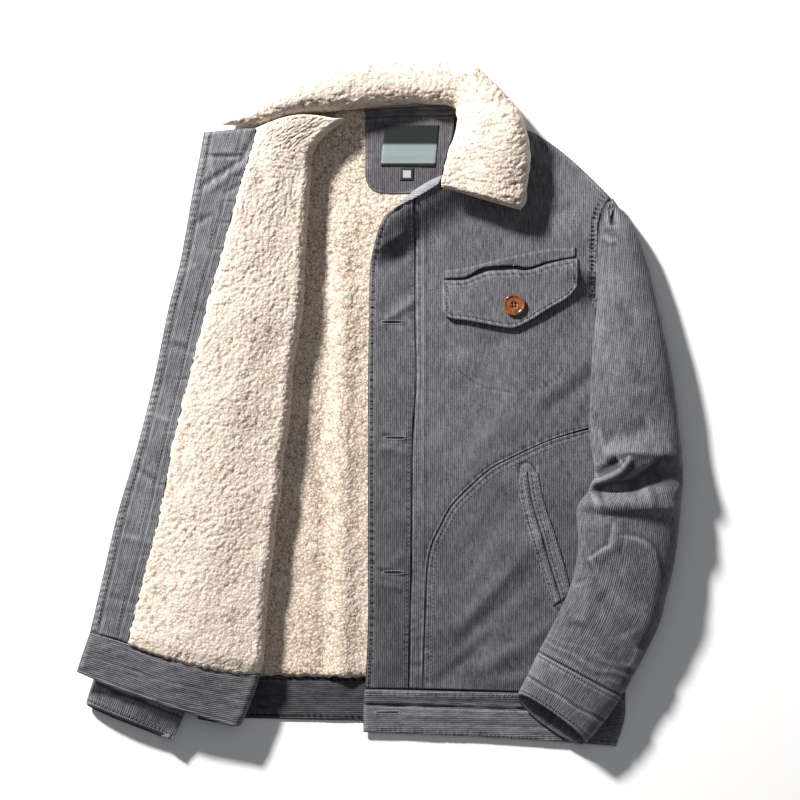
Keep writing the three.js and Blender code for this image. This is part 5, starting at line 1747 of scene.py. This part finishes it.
def collar_point(angle, v):
    row = {name: column[:, None] for name, column in rows_at(COLLAR_ROWS, v).items()}
    angle = angle[None, :]
    side = signed_power(np.cos(angle), 0.8)
    end = 1 - 0.75 * np.abs(2 * v[:, None] - 1) ** 34
    x = (row["ix"] + row["ox"]) / 2 + (row["ox"] - row["ix"]) / 2 * side
    y = (row["iy"] + row["oy"]) / 2 + (row["oy"] - row["iy"]) / 2 * side
    floor = under_collar(x, y)
    widest = lerp(floor, row["top"], 0.4)
    height = np.sin(angle) * end
    lean = lerp(0.92, 1.0, ease((side + 1) / 1.1))
    upper = widest + (row["top"] - widest) * lean * np.clip(height, 0, 1) ** 0.75
    lower = widest - (widest - floor) * np.abs(height) ** 0.5
    return np.stack([x, y, np.where(height > 0, upper, lower)], -1)


def collar_piece():
    """The sherpa collar, one soft roll with its wing turned down on the closed front."""
    angle = -np.pi / 2 + 2 * np.pi * np.arange(96) / 96
    v = np.linspace(0, 1, 330)
    rings = collar_point(angle, v)
    out = grid_normals(rings, True)
    if out[:, 48, 2].sum() < 0:
        out = -out
    x, y, z = (rings[..., k] for k in range(3))
    shows = ease((np.sin(angle)[None, :] + 0.5) / 0.5)
    tufts = pile_height(x + 0.6 * z, y + 0.8 * z, 4.8, 121)
    swell = 1.4 * noise(x, y, 30, 122) + 0.7 * noise(x, y, 13, 123)
    change = (1.8 * (tufts - 0.58) + swell) * shows * (1 - np.abs(2 * v - 1) ** 150)[:, None]
    moved = rings + out * change[..., None]
    # The depth mark paints shade low between the tufts.
    depth = np.clip(tufts + 0.08 * noise(x, y, 24, 124), 0, 1)
    piece = roll("jacket_collar", moved, {"depth": depth})
    finish_piece(piece, "sherpa pile", "sherpa", ["collar"])
    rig.padded(piece, fill=0.5)


def button_shape():
    """One button at the origin: a turned disc with a raised rim, a dished middle and four holes."""
    bpy.ops.object.select_all(action="DESELECT")
    bpy.ops.mesh.primitive_cylinder_add(
        vertices=56, radius=BUTTON_RADIUS * MM, depth=BUTTON_THICK * MM, location=(0, 0, 0),
    )
    button = bpy.context.object
    button.name = "button pattern"
    bpy.ops.object.mode_set(mode="EDIT")
    bpy.ops.mesh.select_mode(type="FACE")
    bpy.ops.mesh.select_all(action="DESELECT")
    bpy.ops.object.mode_set(mode="OBJECT")
    for face in button.data.polygons:
        face.select = face.normal.z > 0.9
    bpy.ops.object.mode_set(mode="EDIT")
    bpy.ops.mesh.inset(thickness=2.0 * MM)
    bpy.ops.mesh.inset(thickness=1.1 * MM, depth=-0.9 * MM)
    bpy.ops.mesh.inset(thickness=3.0 * MM, depth=-0.35 * MM)
    bpy.ops.mesh.select_all(action="DESELECT")
    bpy.ops.object.mode_set(mode="OBJECT")
    bevel = button.modifiers.new("rounded edges", "BEVEL")
    bevel.width = 0.75 * MM
    bevel.segments = 4
    bevel.limit_method = "ANGLE"
    bevel.angle_limit = math.radians(18)
    bpy.ops.object.modifier_apply(modifier=bevel.name)
    for k in range(4):
        angle = math.pi / 4 + k * math.pi / 2
        bpy.ops.object.select_all(action="DESELECT")
        bpy.ops.mesh.primitive_cylinder_add(
            vertices=20, radius=1.05 * MM, depth=12 * MM,
            location=(2.5 * MM * math.cos(angle), 2.5 * MM * math.sin(angle), 0),
        )
        drill = bpy.context.object
        bpy.context.view_layer.objects.active = button
        cut = button.modifiers.new("hole", "BOOLEAN")
        cut.object = drill
        cut.solver = "EXACT"
        bpy.ops.object.modifier_apply(modifier=cut.name)
        bpy.data.objects.remove(drill, do_unlink=True)
    bpy.ops.object.select_all(action="DESELECT")
    button.select_set(True)
    bpy.ops.object.shade_smooth()
    return button


def place_button(pattern, name, node, middle, up):
    """A copy of the button pattern with its middle at a point, in mm, facing up."""
    mesh = pattern.data.copy()
    mesh.name = name
    turn = Vector((0, 0, 1)).rotation_difference(Vector(up)).to_matrix().to_4x4()
    mesh.transform(Matrix.Translation(Vector((np.asarray(middle) + SHIFT) * MM)) @ turn)
    piece = bpy.data.objects.new(name, mesh)
    bpy.context.scene.collection.objects.link(piece)
    return finish_piece(piece, "polished button", "button", [node])


def button_pieces():
    pattern = button_shape()
    x = np.array([BUTTON_PLACE[0]])
    y = np.array([BUTTON_PLACE[1]])
    top = through(FLAP_SECTIONS["x"], FLAP_SECTIONS["top"], x)
    bottom = through(FLAP_SECTIONS["x"], FLAP_SECTIONS["bottom"], x)
    seat = float(flap_low(x, y, (top - y) / (top - bottom))[0]) + CLOTH + 0.7
    middle = (BUTTON_PLACE[0], BUTTON_PLACE[1], seat + BUTTON_THICK / 2)
    place_button(pattern, "jacket_chest_button", "chest_button", middle, (0, 0, 1))
    face = seat + BUTTON_THICK - 1.4
    runs = []
    for side in (-1, 1):
        across = BUTTON_PLACE[0] + side * 1.77
        ends = [np.array([across, BUTTON_PLACE[1] + k * 1.9, face + 0.1]) for k in (-1, 1)]
        runs.append([ends[0], ends[0] * 0.5 + ends[1] * 0.5 + (0, 0, 0.3), ends[1]])
    stitches("jacket_button_thread", runs, 0.45, 2.9, 0.05, "dark thread and painted shade", 0.2)
    places = [(TURNED_ROWS, LINING_TOP, v) for v in (0.1, 0.37, 0.57, 0.79)]
    places.append((TURNED_BAND_ROWS, DOUBLE, 0.5))
    for number, (rows, outside, v) in enumerate(places, 1):
        near = turned_point(rows, np.array([3.5, 3.6]), np.array([v, v + 0.02]), 0.0, outside)
        seat = near[0, 0]
        up = np.cross(near[0, 1] - seat, near[1, 0] - seat)
        up = up / np.linalg.norm(up) * np.sign(up[2])
        middle = seat - up * (CLEAR + BUTTON_THICK / 2)
        place_button(pattern, f"jacket_front_button_{number}", f"front_button_{number}", middle, -up)
    bpy.data.objects.remove(pattern, do_unlink=True)


def panel_side(rows, side, inset, start=0.0, end=1.0):
    """A run inset mm in from the left or right edge of a panel."""
    line = row_edge(rows, side, 80, start, end)
    return beside_line(line, inset if side == "l" else -inset, 120)


def band_run(rows, which, inset):
    """A run inset mm in from the upper or lower edge of a waistband."""
    x0, y0, x1, y1 = (rows[n][which] for n in ("lx", "ly", "rx", "ry"))
    line = np.column_stack([np.linspace(x0, x1, 90), np.linspace(y0, y1, 90)])
    return beside_line(line, -inset if which == 0 else inset, 160)


def stitch_pieces():
    """The rows of thread along the seams and edges."""
    runs = [
        on_surface(panel_side(PLACKET_ROWS, "l", 4.0, 0.2, 0.99), placket_top),
        on_surface(panel_side(PLACKET_ROWS, "r", 3.4, 0.12, 0.99), placket_top),
        on_surface(panel_side(FRONT_ROWS, "r", 4.0, 0.03, 0.36), front_top),
        on_surface(panel_side(POCKET_PANEL_ROWS, "l", 2.6, 0.02, 0.99), front_top),
        on_surface(panel_side(POCKET_PANEL_ROWS, "l", 7.4, 0.03, 0.99), front_top),
    ]
    stitches("jacket_front_stitches", runs)
    bag = on_surface(beside_line(BAG_LINE[12:48], 0.0, 100), front_top, -0.15)
    stitches("jacket_pocket_bag_stitches", [bag], 0.3, 2.4, 0.9, "dark thread and painted shade", 0.0)

    def band_top(x, y):
        return front_low(x, y) + DOUBLE + front_band_relief(x, y)

    runs = [
        on_surface(band_run(FRONT_BAND_ROWS, 0, 3.2), band_top),
        on_surface(band_run(FRONT_BAND_ROWS, 2, 4.2), band_top),
    ]
    stitches("jacket_waistband_stitches", runs)
    x = np.linspace(72, 209, 120)
    top = through(FLAP_SECTIONS["x"], FLAP_SECTIONS["top"], x)
    foot = through(FLAP_SECTIONS["x"], FLAP_SECTIONS["bottom"], x)
    slope = np.gradient(foot, x)
    edge = foot + 5.2 * np.sqrt(1 + slope**2)
    share = (top - edge) / (top - foot)
    rise = flap_low(x, edge, share) + CLOTH + 0.2
    low_run = np.column_stack([x, edge, rise])
    sides = []
    for at, first in ((72.0, True), (209.0, False)):
        upper = float(through(FLAP_SECTIONS["x"], FLAP_SECTIONS["top"], at)) - 1
        lower = float(edge[0] if first else edge[-1])
        y = np.linspace(upper, lower, 30)
        bottom = float(through(FLAP_SECTIONS["x"], FLAP_SECTIONS["bottom"], at))
        v = (upper + 1 - y) / (upper + 1 - bottom)
        xs = np.full(30, at)
        sides.append(np.column_stack([xs, y, flap_low(xs, y, v) + CLOTH + 0.2]))
    stitches("jacket_flap_stitches", [low_run, *sides])
    runs = []
    for rows in (HAND_LEFT_ROWS, HAND_RIGHT_ROWS):
        for side in "lr":
            line = panel_side(rows, side, 2.6, 0.02, 0.98)
            runs.append(np.column_stack([line, front_top(line[:, 0], line[:, 1]) + 0.4 + CLOTH + 0.05]))
    stitches("jacket_hand_pocket_stitches", runs)
    runs = []
    for inset in (6.0, 28.0):
        v = np.linspace(0.01, 0.985, 200)
        wide = turned_point(TURNED_ROWS, np.array([3.0, 4.0]), v, LINING_LOW + DOUBLE, LINING_TOP)
        length = np.linalg.norm(wide[:, 1] - wide[:, 0], axis=1)
        share = 4 - inset / length
        line = np.stack([
            turned_point(TURNED_ROWS, np.array([s]), np.array([t]), LINING_LOW + DOUBLE, LINING_TOP)[0, 0]
            for s, t in zip(share, v)
        ])
        runs.append(line + (0, 0, 0.1))
    stitches("jacket_facing_stitches", runs)


HOLE_PLACES = table("x y half", (13, 87.5, 12), (16.2, -37.8, 12), (14, -183.6, 12), (9, -335.5, 14))


def buttonhole_pieces():
    """Four worked buttonholes: a slit of painted shadow inside a ring of close thread."""
    rings = []
    slits = []
    for number, (x0, y0, half) in enumerate(zip(*HOLE_PLACES.values())):
        turn = np.linspace(0, 2 * np.pi, 60)
        x = x0 + half * signed_power(np.cos(turn), 0.7)
        y = y0 + 1.9 * signed_power(np.sin(turn), 0.7)
        if number < 3:
            def surface(a, b):
                return placket_top(a, b) + 0.15
        else:
            def surface(a, b):
                return front_low(a, b) + DOUBLE + front_band_relief(a, b) + 0.15
        rings.append(np.column_stack([x, y, surface(x, y)]))
        along = np.linspace(x0 - half + 2.0, x0 + half - 2.0, 30)
        slits.append(np.column_stack([along, 0 * along + y0, surface(along, 0 * along + y0) - 0.05]))
    stitches("jacket_buttonhole_thread", rings, 0.5, 1.3, 0.12, "pale thread", 0.1)
    # The slits are painted shadow.
    stitches("jacket_buttonhole_slits", slits, 0.6, 3.0, -0.6, "dark thread and painted shade", 0.0)


def ladder_runs(line, near, far, pitch, surface, seed):
    """Short dark threads across a seam, from near to far mm to the right of its line, as painted shade in its puckers.
    """
    total = np.linalg.norm(np.diff(np.asarray(line), axis=0), axis=1).sum()
    count = int(total / pitch)
    inner = beside_line(line, -near, count)
    outer = beside_line(line, -far, count)
    uneven = 0.22 * (far - near) * noise(np.arange(count), 0, 1.7, seed)[:, None]
    aside = (outer - inner) / (far - near)
    ends = zip(inner, outer + uneven * aside)
    return [on_surface([a, b], surface, 0.05) for a, b in ends]


def ladder_pieces():
    # Painted shade in the puckers across the armhole seam and along the placket's edge.
    runs = ladder_runs(ARMHOLE_SEAM, 3.0, 9.6, 4.4, front_top, 131)
    stitches("jacket_armhole_ladder", runs, 0.62, 5.0, 50.0, "dark thread and painted shade", -0.1)
    runs = ladder_runs(row_edge(PLACKET_ROWS, "l", 60, 0.16, 0.99), -1.0, -6.4, 7.6, placket_top, 132)
    stitches("jacket_placket_ladder", runs, 0.42, 4.0, 50.0, "dark thread and painted shade", -0.1)


def cuff_stitch_pieces():
    runs = []
    for rows, low in ((LEFT_CUFF_ROWS, under_left_sleeve), (RIGHT_CUFF_ROWS, under_right_sleeve)):
        for v in (0.08, 0.9):
            angle = np.linspace(0.1, np.pi - 0.1, 90)
            runs.append(sleeve_point(rows, None, low, angle, np.array([v]), -0.15)[0])
    stitches("jacket_cuff_stitches", runs)


def stage_pieces(settings):
    """A pale floor, a camera looking straight down, one firm light and soft fill."""
    bpy.ops.object.select_all(action="DESELECT")
    bpy.ops.mesh.primitive_plane_add(size=8.0, location=(0, 0, -0.0008))
    floor = bpy.context.object
    floor.name = "studio_floor"
    material, tree, shader = new_material("studio floor")
    shader.inputs["Base Color"].default_value = tone((250, 250, 250))
    shader.inputs["Roughness"].default_value = 0.9
    floor.data.materials.append(material)
    made = [floor]
    for name, place, size, power, colour in (
        ("key_light", (-1.84, 2.35, 1.74), 0.4, settings.key_light, (1.0, 0.985, 0.96)),
        ("top_light", (0.3, 0.2, 3.2), 2.6, settings.fill_light, (0.97, 0.98, 1.0)),
    ):
        lamp = bpy.data.lights.new(name, "AREA")
        lamp.shape = "DISK"
        lamp.size = size
        lamp.energy = power
        lamp.color = colour
        light = bpy.data.objects.new(name, lamp)
        light.location = place
        light.rotation_euler = (-Vector(place)).to_track_quat("-Z", "Y").to_euler()
        bpy.context.scene.collection.objects.link(light)
        made.append(light)
    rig.stage(*made)
    world = bpy.context.scene.world or bpy.data.worlds.new("studio")
    bpy.context.scene.world = world
    world.use_nodes = True
    background = world.node_tree.nodes.get("Background")
    background.inputs[0].default_value = (0.93, 0.95, 1.0, 1.0)
    background.inputs[1].default_value = settings.room_light
    bpy.context.scene.view_settings.view_transform = "Standard"
    lens = bpy.data.cameras.new("camera")
    lens.sensor_width = 36.0
    lens.lens = LENS_LENGTH
    lens.clip_end = 50.0
    camera = bpy.data.objects.new("camera", lens)
    camera.location = CAMERA_PLACE
    bpy.context.scene.collection.objects.link(camera)
    bpy.context.scene.camera = camera


class JacketSettings(bpy.types.PropertyGroup):
    """Sizes in mm and light strengths in watts."""

    wale_pitch: bpy.props.FloatProperty(name="Wale pitch", default=2.15, min=0.8, max=8.0)
    key_light: bpy.props.FloatProperty(name="Key light", default=292.0, min=0.0)
    fill_light: bpy.props.FloatProperty(name="Fill light", default=9.0, min=0.0)
    room_light: bpy.props.FloatProperty(name="Room light", default=0.14, min=0.0)


class JACKET_OT_stage(bpy.types.Operator):
    """Set up the floor, the lights and the camera, and mix the materials"""

    bl_idname = "jacket.stage"
    bl_label = "Stage and materials"

    def execute(self, context):
        make_materials(context.scene.jacket)
        stage_pieces(context.scene.jacket)
        return {"FINISHED"}


class JACKET_OT_back(bpy.types.Operator):
    """Lay out the back: its shell, its sherpa lining and its waistband"""

    bl_idname = "jacket.back"
    bl_label = "Back"

    def execute(self, context):
        back_shell_piece()
        back_lining_piece()
        back_band_piece()
        return {"FINISHED"}


class JACKET_OT_neck(bpy.types.Operator):
    """Sew on the neck tape, hanger patch, label and size tab"""

    bl_idname = "jacket.neck"
    bl_label = "Neck pieces"

    def execute(self, context):
        neck_pieces()
        return {"FINISHED"}


class JACKET_OT_front(bpy.types.Operator):
    """Lay the closed left front over the back"""

    bl_idname = "jacket.front"
    bl_label = "Closed front"

    def execute(self, context):
        closed_front_pieces()
        return {"FINISHED"}


class JACKET_OT_pockets(bpy.types.Operator):
    """Add the chest pocket's welt and flap and the hand pocket's welts"""

    bl_idname = "jacket.pockets"
    bl_label = "Pockets"

    def execute(self, context):
        pocket_pieces()
        return {"FINISHED"}


class JACKET_OT_sleeves(bpy.types.Operator):
    """Lay out both sleeves with their cuffs"""

    bl_idname = "jacket.sleeves"
    bl_label = "Sleeves and cuffs"

    def execute(self, context):
        sleeve_pieces()
        return {"FINISHED"}


class JACKET_OT_turned_front(bpy.types.Operator):
    """Turn the right front back so that its lining and facing show"""

    bl_idname = "jacket.turned_front"
    bl_label = "Turned front"

    def execute(self, context):
        turned_front_pieces()
        return {"FINISHED"}


class JACKET_OT_collar(bpy.types.Operator):
    """Roll the sherpa collar round the neck"""

    bl_idname = "jacket.collar"
    bl_label = "Collar"

    def execute(self, context):
        collar_piece()
        return {"FINISHED"}


class JACKET_OT_buttons(bpy.types.Operator):
    """Turn the six buttons and sew them on"""

    bl_idname = "jacket.buttons"
    bl_label = "Buttons"

    def execute(self, context):
        button_pieces()
        return {"FINISHED"}


class JACKET_OT_stitching(bpy.types.Operator):
    """Run the stitches and work the buttonholes"""

    bl_idname = "jacket.stitching"
    bl_label = "Stitching"

    def execute(self, context):
        stitch_pieces()
        buttonhole_pieces()
        ladder_pieces()
        cuff_stitch_pieces()
        return {"FINISHED"}


OPERATORS = (
    JACKET_OT_stage, JACKET_OT_back, JACKET_OT_neck, JACKET_OT_front, JACKET_OT_pockets,
    JACKET_OT_sleeves, JACKET_OT_turned_front, JACKET_OT_collar, JACKET_OT_buttons, JACKET_OT_stitching,
)


class JACKET_PT_panel(bpy.types.Panel):
    """The jacket's settings and its steps in order"""

    bl_label = "Jacket"
    bl_idname = "JACKET_PT_panel"
    bl_space_type = "VIEW_3D"
    bl_region_type = "UI"
    bl_category = "Jacket"

    def draw(self, context):
        for name in JacketSettings.__annotations__:
            self.layout.prop(context.scene.jacket, name)
        for step in OPERATORS:
            self.layout.operator(step.bl_idname)


def register():
    for part in (JacketSettings, *OPERATORS, JACKET_PT_panel):
        bpy.utils.register_class(part)
    bpy.types.Scene.jacket = bpy.props.PointerProperty(type=JacketSettings)


def unregister():
    del bpy.types.Scene.jacket
    for part in (JACKET_PT_panel, *reversed(OPERATORS), JacketSettings):
        bpy.utils.unregister_class(part)


def main():
    register()
    bpy.ops.jacket.stage()
    bpy.ops.jacket.back()
    bpy.ops.jacket.neck()
    bpy.ops.jacket.front()
    bpy.ops.jacket.pockets()
    bpy.ops.jacket.sleeves()
    bpy.ops.jacket.turned_front()
    bpy.ops.jacket.collar()
    bpy.ops.jacket.buttons()
    bpy.ops.jacket.stitching()
    sizes = {
        "cad": [list(corner) for corner in CAD_BOUNDS],
        "scene": [list(corner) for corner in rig.bounds()],
    }
    with open("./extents.json", "w") as file:
        json.dump(sizes, file)


if __name__ == "__main__":
    main()
